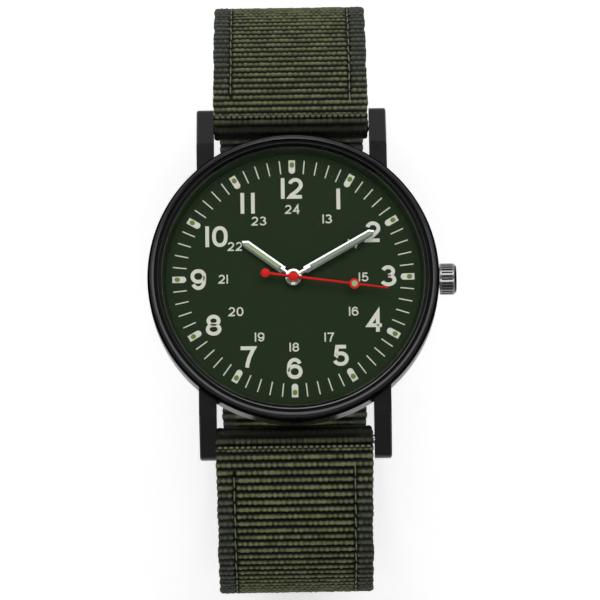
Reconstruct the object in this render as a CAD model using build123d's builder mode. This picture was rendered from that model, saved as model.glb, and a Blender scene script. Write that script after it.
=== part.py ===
from build123d import *
import math
import os

# Field watch with a quartz movement, on a two-piece woven strap closed by a pin buckle.
# Millimetres. The origin is the centre of the case back's outer face, +Z leaves the dial,
# +Y points to 12 o'clock and +X to the crown at 3 o'clock.

os.makedirs("parts", exist_ok=True)

# Overrun of every cut that goes right through a piece
overrun = 1.0

# Case: drum, neck for the bezel, bore for the movement
case_radius = 20.5
case_bottom = 0.9
case_bottom_chamfer = 0.9
bezel_seat = 5.4
bezel_seat_width = 0.55
crystal_seat = 6.5
neck_wall = 1.35
neck_radius = case_radius - bezel_seat_width
bore_radius = neck_radius - neck_wall

# Lugs, which leave room for the strap
strap_width = 21.8
strap_side_gap = 0.15
lug_gap = strap_width + 2 * strap_side_gap
lug_thickness = 2.4
lug_overhang = 4.7
lug_root_inset = 5.4
lug_underside_inset = 2.9
lug_shoulder_inset = 0.9
lug_reach = case_radius + lug_overhang
lug_root = case_radius - lug_root_inset
lug_underside = case_radius - lug_underside_inset
lug_root_top = 5.2
lug_shoulder = case_radius - lug_shoulder_inset
lug_tip_top = 2.4
lug_tip_bottom = 0.0
lug_tip_round = 1.0
lug_edge = 0.2

# Spring bars, which carry the strap between the lugs
bar_overhang = 2.1
bar_reach = case_radius + bar_overhang
bar_level = 1.9
bar_radius = 0.75
bar_bore = 0.5
bar_end_gap = 1.4
bar_length = lug_gap - 2 * bar_end_gap
tip_head_radius = 0.46
tip_head_length = 0.9
tip_travel = 0.9
tip_collar_radius = 0.65
tip_collar_length = 0.3
tip_pin_radius = 0.4
tip_pin_length = 0.8
lug_hole_clearance = 0.05
lug_hole_depth = 1.0

# Bezel and crystal
bezel_clearance = 0.05
bezel_wall_height = 0.2
bezel_crest_inset = 0.55
bezel_shoulder_inset = 0.28
bezel_shoulder_level = 6.75
bezel_top = 7.45
bezel_lip_drop = 0.12
bezel_lip_inset = 0.95
bezel_crest_radius = case_radius - bezel_crest_inset
bezel_shoulder_radius = case_radius - bezel_shoulder_inset
bezel_bore = case_radius - bezel_lip_inset
crystal_gasket_width = 0.45
crystal_radius = bezel_bore - crystal_gasket_width
crystal_thickness = 1.2
crystal_chamfer = 0.6
crystal_chamfer_drop = 0.4
crystal_gasket_height = 0.65

# Case back: a snap cover with an inner lip and a notch for the opening knife
back_inset = 1.1
back_slope_width = 2.9
back_radius = case_radius - back_inset
back_flat_radius = back_radius - back_slope_width
back_edge_level = 0.4
back_inner_level = 0.75
back_gasket_width = 0.3
back_lip_wall = 0.35
back_lip_outer = bore_radius - back_gasket_width
back_lip_inner = back_lip_outer - back_lip_wall
back_lip_top = 1.9
back_notch_width = 3.0
back_notch_depth = 0.5
back_gasket_height = 0.35
gasket_clearance = 0.02

# Dial and the ring that stands round it
dial_bottom = 4.4
dial_thickness = 0.4
dial_clearance = 0.1
dial_radius = bore_radius - dial_clearance
dial_hole = 0.8
dial_foot_radius = 0.35
dial_foot_length = 0.9
dial_foot_x = 10.5
dial_foot_y = 4.9
rehaut_clearance = 0.05
rehaut_foot_width = 0.6
rehaut_head_width = 0.15
rehaut_outer = bore_radius - rehaut_clearance
rehaut_foot = rehaut_outer - rehaut_foot_width
rehaut_head = rehaut_outer - rehaut_head_width

# Movement: main plate, with a cavity at the back and a pocket under the dial
plate_width = 15.3
plate_length = 18.8
plate_corner = 3.2
plate_bottom = 1.6
plate_wall = 0.8
web_bottom = 3.3
web_top = 3.9
motion_pocket_radius = 4.6
running_clearance = 0.03
arbor_radius = 0.2
pivot_radius = 0.1

# Train bridge and its screws
bridge_bottom = 1.95
bridge_thickness = 0.4
bridge_boss = 1.1
pillar_radius = 0.7
screw_places = ((-4.6, -1.9), (4.2, -2.3), (-1.5, 6.6))
screw_head_radius = 0.55
screw_head_height = 0.35
screw_radius = 0.25
screw_length = 0.95
screw_slot_width = 0.16

# Holder that centres the movement in the case
holder_bottom = 0.85
holder_step = 2.1
holder_rim_clearance = 0.1
holder_pocket_wall = 0.95
holder_lower_radius = back_lip_inner - holder_rim_clearance
holder_radius = bore_radius - holder_rim_clearance
holder_clearance = 0.02
holder_pocket_inner = 12.7
holder_pocket_outer = holder_lower_radius - holder_pocket_wall
holder_pocket_top = 3.4

# Battery and the clamp over it
battery_x = 3.7
battery_y = 5.75
battery_radius = 3.4
battery_cap_radius = 2.9
battery_bottom = 1.15
battery_cap_height = 0.25
battery_height = 2.1
battery_clearance = 0.1
clamp_gap = 0.02
clamp_thickness = 0.15
clamp_pad = 1.2
clamp_foot_radius = 0.4
clamp_foot_x = 0.2
clamp_foot_y = 9.0

# Circuit: board, quartz can, chip, coil and stator
board_thickness = 0.2
board_left = -6.8
board_right = 1.0
board_low = -6.6
board_high = 2.5
quartz_radius = 0.6
quartz_length = 4.6
quartz_x = -6.2
quartz_y = -1.1
chip_size = 1.7
chip_height = 0.35
chip_x = -2.2
chip_y = -4.9
coil_length = 8.8
coil_radius = 0.85
coil_flange_radius = 0.95
coil_flange_width = 0.3
coil_y = -7.6
core_width = 0.9
core_thickness = 0.2
core_half_length = 5.7
stator_bottom = 2.43
stator_thickness = 0.2
stator_radius = 1.4
stator_hole = 0.75
stator_arm_width = 1.3
stator_leg_width = 1.0

# Wheel train. Teeth and modules; the levels are the bottoms of the wheels
rotor_pinion_teeth = 8
fifth_wheel_teeth = 40
fifth_pinion_teeth = 8
fourth_wheel_teeth = 48
fourth_pinion_teeth = 8
third_wheel_teeth = 60
third_pinion_teeth = 8
centre_wheel_teeth = 64
cannon_teeth = 12
minute_wheel_teeth = 36
minute_pinion_teeth = 10
hour_wheel_teeth = 40
seconds_module = 0.1
drive_module = 0.125
rotor_module = 0.09
motion_module = 0.1
wheel_thickness = 0.12
fourth_wheel_level = 2.45
fourth_pinion_height = 0.3
third_wheel_level = 2.65
third_pinion_height = 0.33
centre_wheel_level = 2.95
fifth_wheel_level = 2.72
fifth_pinion_height = 0.31
rotor_magnet_radius = 0.55
rotor_magnet_level = 2.4
rotor_magnet_height = 0.26
rotor_pinion_level = 2.68
rotor_pinion_height = 0.2
third_direction = 135.0
fifth_direction = -70.0
rotor_direction = -60.0
minute_direction = 40.0
cannon_level = 3.92
cannon_height = 0.18
minute_wheel_level = 3.95
minute_pinion_height = 0.26
minute_post_radius = 0.25
hour_wheel_level = 4.15
cannon_tube_radius = 0.35
cannon_tube_bore = 0.15
hour_tube_radius = 0.6
hour_tube_bore = 0.4

# Tooth form: shares of the module in height and of the pitch in half width
addendum_share = 0.95
dedendum_share = 1.25
tooth_tip_share = 0.1
tooth_root_share = 0.27

# Hands: levels, and the clock angles that they stand at
hour_hand_level = 5.35
minute_hand_level = 5.75
second_hand_level = 6.15
hand_thickness = 0.15
hour_hand_angle = 306.5
minute_hand_angle = 60.7
second_hand_angle = 97.9
hand_hub_radius = 1.15
neck_half_width = 0.22
lume_recess = 0.03
hand_frame_width = 0.17
hour_hand_length = 8.9
hour_hand_half_width = 0.56
hour_hand_step = 1.75
hour_hand_lume_start = 2.3
hour_hand_shoulder = 8.2
minute_hand_length = 13.2
minute_hand_half_width = 0.52
minute_hand_step = 1.9
minute_hand_lume_start = 2.9
minute_hand_shoulder = 12.55
second_hand_length = 13.4
second_hand_root_half_width = 0.2
second_hand_tip_half_width = 0.14
second_hub_radius = 0.69
second_disc_place = 8.65
second_disc_radius = 0.75
second_dot_radius = 0.43
counterweight_place = 3.97
counterweight_radius = 0.65
second_cap_radius = 0.2
second_cap_height = 0.1

# Crown, its tube and the stem
stem_level = 2.6
crown_gap = 0.15
crown_inner = case_radius + crown_gap
crown_length = 2.3
crown_radius = 2.2
crown_chamfer = 0.4
crown_collar_length = 0.2
crown_cap_length = 0.55
crown_flutes = 28
crown_flute_depth = 0.18
crown_flute_width = 0.22
crown_recess_radius = 1.75
crown_recess_depth = 1.7
crown_post_radius = 0.9
crown_post_setback = 0.35
tube_outer = 1.3
tube_bore = 1.0
tube_setback = 0.1
tube_overhang = 1.7
tube_start = bore_radius + tube_setback
tube_end = case_radius + tube_overhang
tube_clearance = 0.02
crown_gasket_setback = 0.2
crown_gasket_start = crown_inner + crown_gasket_setback
crown_gasket_width = 0.35
stem_radius = 0.45
stem_bearing_radius = 0.6
stem_bearing_end = 8.2
stem_groove_radius = 0.3
stem_groove_start = 5.2
stem_groove_width = 0.5
stem_shoulder_width = 0.3
stem_square = 0.7
stem_square_start = 3.4
stem_thread_depth = 1.2
crown_travel = 1.0

# Keyless works: sliding pinion on the stem's square, and the setting lever in its groove
pinion_start = 3.9
pinion_length = 0.8
pinion_teeth = 12
pinion_module = 0.12
pinion_square_clearance = 0.02
keyless_pocket_start = 3.35
keyless_pocket_half_width = 1.15
keyless_pocket_top = 3.6
lever_arm = 2.4
lever_pivot_y = -1.8
lever_level = 1.7
lever_thickness = 0.2
lever_boss = 0.6
lever_finger_radius = 0.2
lever_finger_boss = 0.3
lever_finger_height = 0.85
lever_post_radius = 0.35

# Strap: woven band, rolled round each spring bar and sewn back on itself
strap_thickness = 1.2
strap_roll_clearance = 0.05
strap_leaving_angle = 24.0
strap_back_level = -46.0
strap_turns = (22.0, 54.0, 40.0, 40.0)
upper_run_radius = 55.0
upper_shoulder_radius = 18.5
lower_run_radius = 43.0
lower_shoulder_radius = 15.5
heel_radius = 16.0
tab_angle = 8.0
tab_length = 7.0
fold_angle = 20.0
fold_bend_radius = 3.0
fold_tab_length = 8.0
layer_gap = 0.06
tail_turn_radius = 4.0
tail_curve_angle = 30.0
tail_corner = 5.0

# Buckle: frame, hinge bar and tang, and the two keepers
hinge_y = 6.5
hinge_radius = 0.6
hinge_clearance = 0.05
frame_length = 10.5
frame_side_gap = 0.4
frame_inner_width = strap_width + 2 * frame_side_gap
frame_arm_width = 1.9
frame_arm_radius = 1.05
frame_bar_radius = 1.0
frame_bar_gap = 0.15
tang_width = 1.6
tang_thickness = 1.0
tang_eye_radius = 1.2
tang_overhang = 0.6
tang_groove = 0.3
tang_notch_width = 2.2
tang_swing = 13.0
tail_hole_width = 1.9
tail_hole_pitch = 6.5
tail_hole_count = 3
tail_hole_radius = 1.0
keeper_width = 3.5
keeper_thickness = 1.0
keeper_clearance = 0.15
keeper_corner = 0.8
fixed_keeper_start = 11.2
floating_keeper_start = 17.0


def write_piece(piece, name):
    """Labels a finished piece and writes its STEP file."""
    piece.part.label = name
    export_step(piece.part, "parts/" + name + ".step")


def polar(distance, degrees):
    """A point at a distance and a direction from the watch's centre."""
    angle = math.radians(degrees)
    return (distance * math.cos(angle), distance * math.sin(angle))


def shifted(point, other):
    """The sum of two points."""
    return (point[0] + other[0], point[1] + other[1])


def gear_outline(teeth, module, turn):
    """Corners of a gear with straight-flanked teeth, the first tooth turned by turn degrees."""
    tip = module * (teeth / 2 + addendum_share)
    root = module * (teeth / 2 - dedendum_share)
    flank = (
        (root, -tooth_root_share),
        (tip, -tooth_tip_share),
        (tip, tooth_tip_share),
        (root, tooth_root_share),
    )
    pitch = 360.0 / teeth
    return [
        polar(radius, turn + (tooth + share) * pitch)
        for tooth in range(teeth)
        for radius, share in flank
    ]


def gear(teeth, module, turn, place, level, height):
    """Adds a gear to the part being built, at a place in plan."""
    with BuildSketch(Plane((place[0], place[1], level))) as toothed:
        with BuildLine():
            Polyline(*gear_outline(teeth, module, turn), close=True)
        make_face()
    extrude(toothed.sketch, amount=height)


def shaft(place, level, top, radius):
    """Adds a round shaft to the part being built."""
    with BuildSketch(Plane((place[0], place[1], level))) as disc:
        Circle(radius)
    extrude(disc.sketch, amount=top - level)


def bore(place, level, top, radius):
    """Cuts a round hole in the part being built."""
    with BuildSketch(Plane((place[0], place[1], level))) as disc:
        Circle(radius)
    extrude(disc.sketch, amount=top - level, mode=Mode.SUBTRACT)


def meshed_turn(teeth, turn, other_teeth, direction):
    """Turn of the other gear whose gap meets a tooth of the first one along a direction."""
    offset = (direction - turn) * teeth / 360.0
    return direction + 180.0 - (0.5 - offset) * 360.0 / other_teeth


def ring_round_z(piece_profile):
    """Turns a closed (radius, level) outline about the watch's axis."""
    with BuildSketch(Plane.XZ) as outline:
        with BuildLine():
            Polyline(*piece_profile, close=True)
        make_face()
    revolve(outline.sketch, axis=Axis.Z)


# Middle case: turned drum with four lugs
lug_inner = lug_gap / 2
lug_profile = (
    (lug_underside, case_bottom),
    (lug_root, case_bottom),
    (lug_root, lug_root_top),
    (lug_shoulder, lug_root_top),
    (lug_reach, lug_tip_top),
    (lug_reach, lug_tip_bottom),
)
with BuildPart() as case_middle:
    ring_round_z(
        (
            (bore_radius, case_bottom),
            (case_radius - case_bottom_chamfer, case_bottom),
            (case_radius, case_bottom + case_bottom_chamfer),
            (case_radius, bezel_seat),
            (neck_radius, bezel_seat),
            (neck_radius, crystal_seat),
            (bore_radius, crystal_seat),
        )
    )
    for start in (lug_inner, -lug_inner - lug_thickness):
        with BuildSketch(Plane.YZ.offset(start)) as lug_side:
            with BuildLine():
                Polyline(*lug_profile, close=True)
            make_face()
            tip_corners = lug_side.vertices().group_by(Axis.X)[-1]
            fillet(tip_corners, radius=lug_tip_round)
            mirror(about=Plane.YZ)
        extrude(amount=lug_thickness)
    lug_sides = case_middle.faces().filter_by(Axis.X).filter_by(
        lambda face: abs(face.center().X) > lug_inner + lug_edge
    )
    lug_ends = lug_sides.edges().filter_by(lambda edge: abs(edge.center().Y) > case_radius)
    chamfer(lug_ends, length=lug_edge)
    with BuildSketch(Plane.YZ.offset(-lug_inner - lug_hole_depth)):
        with Locations((bar_reach, bar_level), (-bar_reach, bar_level)):
            Circle(tip_pin_radius + lug_hole_clearance)
    extrude(amount=2 * (lug_inner + lug_hole_depth), mode=Mode.SUBTRACT)
    with BuildSketch(Plane.XY.offset(case_bottom)):
        Circle(bore_radius)
    extrude(amount=crystal_seat - case_bottom, mode=Mode.SUBTRACT)
    with BuildSketch(Plane.YZ.offset(bore_radius - overrun)):
        with Locations((0, stem_level)):
            Circle(tube_outer + tube_clearance)
    extrude(amount=case_radius - bore_radius + 2 * overrun, mode=Mode.SUBTRACT)
write_piece(case_middle, "case_middle")

# Bezel: a rounded ring snapped over the case's neck, holding the crystal's gasket
bezel_inner = neck_radius + bezel_clearance
with BuildPart() as bezel:
    with BuildSketch(Plane.XZ):
        with BuildLine():
            Polyline(
                (bezel_bore, bezel_top - bezel_lip_drop),
                (bezel_bore, crystal_seat),
                (bezel_inner, crystal_seat),
                (bezel_inner, bezel_seat),
                (case_radius, bezel_seat),
                (case_radius, bezel_seat + bezel_wall_height),
            )
            ThreePointArc(
                (case_radius, bezel_seat + bezel_wall_height),
                (bezel_shoulder_radius, bezel_shoulder_level),
                (bezel_crest_radius, bezel_top),
            )
            Line((bezel_crest_radius, bezel_top), (bezel_bore, bezel_top - bezel_lip_drop))
        make_face()
    revolve(axis=Axis.Z)
write_piece(bezel, "bezel")

with BuildPart() as crystal:
    with BuildSketch(Plane.XY.offset(crystal_seat)):
        Circle(crystal_radius)
    extrude(amount=crystal_thickness)
    crystal_top = crystal.faces().sort_by(Axis.Z)[-1]
    chamfer(crystal_top.edges(), length=crystal_chamfer, length2=crystal_chamfer_drop, reference=crystal_top)
write_piece(crystal, "crystal")

with BuildPart() as crystal_gasket:
    ring_round_z(
        (
            (crystal_radius, crystal_seat),
            (bezel_bore, crystal_seat),
            (bezel_bore, crystal_seat + crystal_gasket_height),
            (crystal_radius, crystal_seat + crystal_gasket_height),
        )
    )
write_piece(crystal_gasket, "crystal_gasket")

# Case back
with BuildPart() as case_back:
    ring_round_z(
        (
            (0, 0),
            (back_flat_radius, 0),
            (back_radius, back_edge_level),
            (back_radius, case_bottom),
            (back_lip_outer, case_bottom),
            (back_lip_outer, back_lip_top),
            (back_lip_inner, back_lip_top),
            (back_lip_inner, back_inner_level),
            (0, back_inner_level),
        )
    )
    with BuildSketch(Plane.XY.offset(back_edge_level)):
        with Locations((0, -back_radius)):
            Rectangle(back_notch_width, 2 * back_notch_depth)
    extrude(amount=case_bottom - back_edge_level, mode=Mode.SUBTRACT)
write_piece(case_back, "case_back")

with BuildPart() as case_back_gasket:
    ring_round_z(
        (
            (back_lip_outer + gasket_clearance, case_bottom),
            (bore_radius - gasket_clearance, case_bottom),
            (bore_radius - gasket_clearance, case_bottom + back_gasket_height),
            (back_lip_outer + gasket_clearance, case_bottom + back_gasket_height),
        )
    )
write_piece(case_back_gasket, "case_back_gasket")

# Dial with its two feet, and the ring round it
dial_top = dial_bottom + dial_thickness
dial_feet = ((dial_foot_x, dial_foot_y), (-dial_foot_x, -dial_foot_y))
with BuildPart() as dial:
    shaft((0, 0), dial_bottom, dial_top, dial_radius)
    bore((0, 0), dial_bottom, dial_top, dial_hole)
    for foot in dial_feet:
        shaft(foot, dial_bottom - dial_foot_length, dial_bottom, dial_foot_radius)
write_piece(dial, "dial")

with BuildPart() as rehaut:
    ring_round_z(
        (
            (rehaut_foot, dial_top),
            (rehaut_outer, dial_top),
            (rehaut_outer, crystal_seat),
            (rehaut_head, crystal_seat),
        )
    )
write_piece(rehaut, "rehaut_ring")

# Places of the wheel arbors
centre = (0.0, 0.0)
third_distance = seconds_module * (fourth_pinion_teeth + third_wheel_teeth) / 2
centre_module = 2 * third_distance / (third_pinion_teeth + centre_wheel_teeth)
third_place = polar(third_distance, third_direction)
fifth_place = polar(drive_module * (fifth_pinion_teeth + fourth_wheel_teeth) / 2, fifth_direction)
rotor_distance = rotor_module * (rotor_pinion_teeth + fifth_wheel_teeth) / 2
rotor_place = shifted(fifth_place, polar(rotor_distance, rotor_direction))
minute_distance = motion_module * (cannon_teeth + minute_wheel_teeth) / 2
hour_module = 2 * minute_distance / (minute_pinion_teeth + hour_wheel_teeth)
minute_place = polar(minute_distance, minute_direction)

# Keyless geometry: the lever's finger stands in the stem's groove, and swings with it
groove_middle = stem_groove_start + stem_groove_width / 2
lever_pivot = (groove_middle + crown_travel / 2, lever_pivot_y)
lever_lean = math.asin(crown_travel / 2 / lever_arm)
lever_finger = shifted(lever_pivot, (-crown_travel / 2, lever_arm * math.cos(lever_lean)))

# Main plate
plate_inner_corner = plate_corner - plate_wall
bridge_top = bridge_bottom + bridge_thickness
with BuildPart() as main_plate:
    with BuildSketch(Plane.XY.offset(plate_bottom)):
        RectangleRounded(plate_width, plate_length, plate_corner)
    extrude(amount=dial_bottom - plate_bottom)
    with BuildSketch(Plane.XY.offset(plate_bottom)):
        RectangleRounded(plate_width - 2 * plate_wall, plate_length - 2 * plate_wall, plate_inner_corner)
    extrude(amount=web_bottom - plate_bottom, mode=Mode.SUBTRACT)
    bore((battery_x, battery_y), plate_bottom, web_bottom, battery_radius + battery_clearance)
    bore(centre, web_top, dial_bottom, motion_pocket_radius)
    for place in screw_places:
        shaft(place, bridge_top, web_bottom, pillar_radius)
        bore(place, bridge_top, bridge_bottom + screw_length, screw_radius + gasket_clearance)
    shaft(lever_pivot, lever_level - clamp_gap, web_bottom, lever_post_radius)
    with BuildSketch(Plane.XY.offset(web_bottom)):
        with Locations(((keyless_pocket_start + plate_width / 2 - plate_wall) / 2, 0)):
            Rectangle(plate_width / 2 - plate_wall - keyless_pocket_start, 2 * keyless_pocket_half_width)
    extrude(amount=keyless_pocket_top - web_bottom, mode=Mode.SUBTRACT)
    bore(centre, web_bottom, web_top, cannon_tube_radius + running_clearance)
    for place in (third_place, fifth_place, rotor_place):
        bore(place, web_bottom, web_top, pivot_radius + running_clearance)
    shaft(minute_place, web_top, dial_bottom - running_clearance, minute_post_radius)
    with BuildSketch(Plane.YZ.offset(plate_width / 2 - plate_wall - overrun)):
        with Locations((0, stem_level)):
            Circle(stem_bearing_radius + 2 * running_clearance)
    extrude(amount=plate_wall + 2 * overrun, mode=Mode.SUBTRACT)
write_piece(main_plate, "main_plate")

with BuildPart() as train_bridge:
    with BuildSketch(Plane.XY.offset(bridge_bottom)):
        with Locations(*screw_places, third_place, fifth_place, rotor_place):
            Circle(bridge_boss)
        make_hull()
        with Locations((battery_x, battery_y)):
            Circle(battery_radius + battery_clearance, mode=Mode.SUBTRACT)
        with Locations((keyless_pocket_start + plate_width / 2, 0)):
            Rectangle(plate_width, 2 * keyless_pocket_half_width, mode=Mode.SUBTRACT)
        with Locations(*screw_places):
            Circle(screw_radius + gasket_clearance, mode=Mode.SUBTRACT)
        with Locations(centre, third_place, fifth_place, rotor_place):
            Circle(pivot_radius + running_clearance, mode=Mode.SUBTRACT)
    extrude(amount=bridge_thickness)
write_piece(train_bridge, "train_bridge")

with BuildPart() as bridge_screws:
    for place in screw_places:
        shaft(place, bridge_bottom - screw_head_height, bridge_bottom, screw_head_radius)
        shaft(place, bridge_bottom, bridge_bottom + screw_length, screw_radius)
        with BuildSketch(Plane((place[0], place[1], bridge_bottom - screw_head_height))):
            Rectangle(2 * screw_head_radius + overrun, screw_slot_width)
        extrude(amount=screw_slot_width, mode=Mode.SUBTRACT)
write_piece(bridge_screws, "train_bridge_screws")

with BuildPart() as movement_holder:
    shaft(centre, holder_bottom, holder_step, holder_lower_radius)
    shaft(centre, holder_step, dial_bottom, holder_radius)
    with BuildSketch(Plane.XY.offset(holder_bottom)):
        Circle(holder_pocket_outer)
        Circle(holder_pocket_inner, mode=Mode.SUBTRACT)
    extrude(amount=holder_pocket_top - holder_bottom, mode=Mode.SUBTRACT)
    with BuildSketch(Plane.XY.offset(holder_bottom)):
        RectangleRounded(plate_width + 2 * holder_clearance, plate_length + 2 * holder_clearance,
                         plate_corner)
    extrude(amount=dial_bottom - holder_bottom, mode=Mode.SUBTRACT)
    for foot in dial_feet:
        bore(foot, holder_pocket_top, dial_bottom, dial_foot_radius + running_clearance)
    with BuildSketch(Plane.YZ.offset(plate_width / 2 - overrun)):
        with Locations((0, stem_level)):
            Circle(tube_bore)
    extrude(amount=holder_radius, mode=Mode.SUBTRACT)
write_piece(movement_holder, "movement_holder")

# Battery and clamp
with BuildPart() as battery:
    shaft((battery_x, battery_y), battery_bottom, battery_bottom + battery_cap_height, battery_cap_radius)
    shaft((battery_x, battery_y), battery_bottom + battery_cap_height, battery_bottom + battery_height,
          battery_radius)
write_piece(battery, "battery")

clamp_top = battery_bottom - clamp_gap
with BuildPart() as battery_clamp:
    with BuildSketch(Plane.XY.offset(clamp_top - clamp_thickness)):
        with Locations((battery_x, battery_y)):
            Circle(clamp_pad)
        with Locations((clamp_foot_x, clamp_foot_y)):
            Circle(clamp_foot_radius)
        make_hull()
    extrude(amount=clamp_thickness)
    shaft((clamp_foot_x, clamp_foot_y), clamp_top, plate_bottom, clamp_foot_radius)
write_piece(battery_clamp, "battery_clamp")

# Circuit board with the chip under it and the quartz can on it
board_bottom = bridge_bottom - board_thickness
with BuildPart() as circuit_board:
    with BuildSketch(Plane.XY.offset(board_bottom)):
        with Locations(((board_left + board_right) / 2, (board_low + board_high) / 2)):
            Rectangle(board_right - board_left, board_high - board_low)
        with Locations(screw_places[0]):
            Circle(screw_head_radius + battery_clearance, mode=Mode.SUBTRACT)
    extrude(amount=board_thickness)
write_piece(circuit_board, "circuit_board")

with BuildPart() as control_chip:
    with BuildSketch(Plane((chip_x, chip_y, board_bottom - chip_height))):
        Rectangle(chip_size, chip_size)
    extrude(amount=chip_height)
write_piece(control_chip, "control_chip")

with BuildPart() as quartz_can:
    with BuildSketch(Plane.XZ.offset(-quartz_y + quartz_length / 2 - quartz_length)):
        with Locations((quartz_x, bridge_bottom + quartz_radius)):
            Circle(quartz_radius)
    extrude(amount=quartz_length)
write_piece(quartz_can, "quartz_can")

core_level = stator_bottom - core_thickness
with BuildPart() as motor_coil:
    for start, length, radius in (
        (-coil_length / 2, coil_flange_width, coil_flange_radius),
        (-coil_length / 2 + coil_flange_width, coil_length - 2 * coil_flange_width, coil_radius),
        (coil_length / 2 - coil_flange_width, coil_flange_width, coil_flange_radius),
    ):
        with BuildSketch(Plane.YZ.offset(start)):
            with Locations((coil_y, core_level + core_thickness / 2)):
                Circle(radius)
        extrude(amount=length)
    with BuildSketch(Plane.XY.offset(core_level)):
        with Locations((0, coil_y)):
            Rectangle(2 * core_half_length, core_width)
    extrude(amount=core_thickness)
write_piece(motor_coil, "motor_coil")

leg_middle = core_half_length - stator_leg_width / 2
leg_foot = coil_y - core_width / 2
with BuildPart() as stator:
    with BuildSketch(Plane.XY.offset(stator_bottom)):
        with Locations(rotor_place):
            Circle(stator_radius)
        with Locations((0, rotor_place[1])):
            Rectangle(2 * core_half_length, stator_arm_width)
        with Locations((leg_middle, (rotor_place[1] + leg_foot) / 2),
                       (-leg_middle, (rotor_place[1] + leg_foot) / 2)):
            Rectangle(stator_leg_width, rotor_place[1] - leg_foot)
        with Locations(rotor_place):
            Circle(stator_hole, mode=Mode.SUBTRACT)
    extrude(amount=stator_thickness)
write_piece(stator, "stator")

# Going train, in mesh from the rotor to the centre wheel
fourth_turn = 0.0
fourth_pinion_turn = 0.0
third_turn = meshed_turn(fourth_pinion_teeth, fourth_pinion_turn, third_wheel_teeth, third_direction)
third_pinion_turn = third_turn
centre_turn = meshed_turn(third_pinion_teeth, third_pinion_turn, centre_wheel_teeth, third_direction + 180.0)
fifth_pinion_turn = meshed_turn(fourth_wheel_teeth, fourth_turn, fifth_pinion_teeth, fifth_direction)
rotor_turn = meshed_turn(fifth_wheel_teeth, fifth_pinion_turn, rotor_pinion_teeth, rotor_direction)
cannon_turn = 0.0
minute_turn = meshed_turn(cannon_teeth, cannon_turn, minute_wheel_teeth, minute_direction)
hour_turn = meshed_turn(minute_pinion_teeth, minute_turn, hour_wheel_teeth, minute_direction + 180.0)
arbor_bottom = bridge_top + running_clearance
arbor_top = web_bottom - running_clearance

second_top = second_hand_level + hand_thickness
with BuildPart() as fourth_wheel:
    gear(fourth_wheel_teeth, drive_module, fourth_turn, centre, fourth_wheel_level, wheel_thickness)
    gear(fourth_pinion_teeth, seconds_module, fourth_pinion_turn, centre,
         fourth_wheel_level + wheel_thickness, fourth_pinion_height)
    shaft(centre, arbor_bottom, fourth_wheel_level, arbor_radius)
    shaft(centre, bridge_bottom, arbor_bottom, pivot_radius)
    shaft(centre, fourth_wheel_level, second_top, pivot_radius)
write_piece(fourth_wheel, "fourth_wheel")

with BuildPart() as third_wheel:
    gear(third_wheel_teeth, seconds_module, third_turn, third_place, third_wheel_level, wheel_thickness)
    gear(third_pinion_teeth, centre_module, third_pinion_turn, third_place,
         third_wheel_level + wheel_thickness, third_pinion_height)
    shaft(third_place, arbor_bottom, arbor_top, arbor_radius)
    shaft(third_place, bridge_bottom, web_top, pivot_radius)
write_piece(third_wheel, "third_wheel")

with BuildPart() as centre_wheel:
    gear(centre_wheel_teeth, centre_module, centre_turn, centre, centre_wheel_level, wheel_thickness)
    shaft(centre, centre_wheel_level, minute_hand_level + hand_thickness, cannon_tube_radius)
    gear(cannon_teeth, motion_module, cannon_turn, centre, cannon_level, cannon_height)
    bore(centre, centre_wheel_level, minute_hand_level + hand_thickness, cannon_tube_bore)
write_piece(centre_wheel, "centre_wheel")

with BuildPart() as fifth_wheel:
    gear(fifth_wheel_teeth, rotor_module, fifth_pinion_turn, fifth_place, fifth_wheel_level, wheel_thickness)
    gear(fifth_pinion_teeth, drive_module, fifth_pinion_turn, fifth_place,
         fifth_wheel_level - fifth_pinion_height, fifth_pinion_height)
    shaft(fifth_place, arbor_bottom, arbor_top, arbor_radius)
    shaft(fifth_place, bridge_bottom, web_top, pivot_radius)
write_piece(fifth_wheel, "fifth_wheel")

with BuildPart() as rotor:
    shaft(rotor_place, rotor_magnet_level, rotor_magnet_level + rotor_magnet_height, rotor_magnet_radius)
    gear(rotor_pinion_teeth, rotor_module, rotor_turn, rotor_place, rotor_pinion_level, rotor_pinion_height)
    shaft(rotor_place, arbor_bottom, arbor_top, arbor_radius)
    shaft(rotor_place, bridge_bottom, web_top, pivot_radius)
write_piece(rotor, "rotor")

# Motion work under the dial
with BuildPart() as minute_wheel:
    gear(minute_wheel_teeth, motion_module, minute_turn, minute_place, minute_wheel_level, wheel_thickness)
    gear(minute_pinion_teeth, hour_module, minute_turn, minute_place,
         minute_wheel_level + wheel_thickness, minute_pinion_height)
    bore(minute_place, minute_wheel_level, minute_wheel_level + wheel_thickness + minute_pinion_height,
         minute_post_radius + running_clearance)
write_piece(minute_wheel, "minute_wheel")

with BuildPart() as hour_wheel:
    gear(hour_wheel_teeth, hour_module, hour_turn, centre, hour_wheel_level, wheel_thickness)
    shaft(centre, hour_wheel_level, hour_hand_level + hand_thickness, hour_tube_radius)
    bore(centre, hour_wheel_level, hour_hand_level + hand_thickness, hour_tube_bore)
write_piece(hour_wheel, "hour_wheel")


def hand_plane(angle, level):
    """A plane whose Y runs along a hand that stands at a clock angle."""
    turn = math.radians(angle)
    return Plane(origin=(0, 0, level), x_dir=(math.cos(turn), -math.sin(turn), 0), z_dir=(0, 0, 1))


def window_outline(half_width, start, shoulder, length, inset):
    """The pointed bar of a hand from its start to its tip, drawn in by inset."""
    tip = length - 2 * inset
    return (
        (inset - half_width, start + inset),
        (half_width - inset, start + inset),
        (half_width - inset, shoulder),
        (0, tip),
        (inset - half_width, shoulder),
    )


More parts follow.
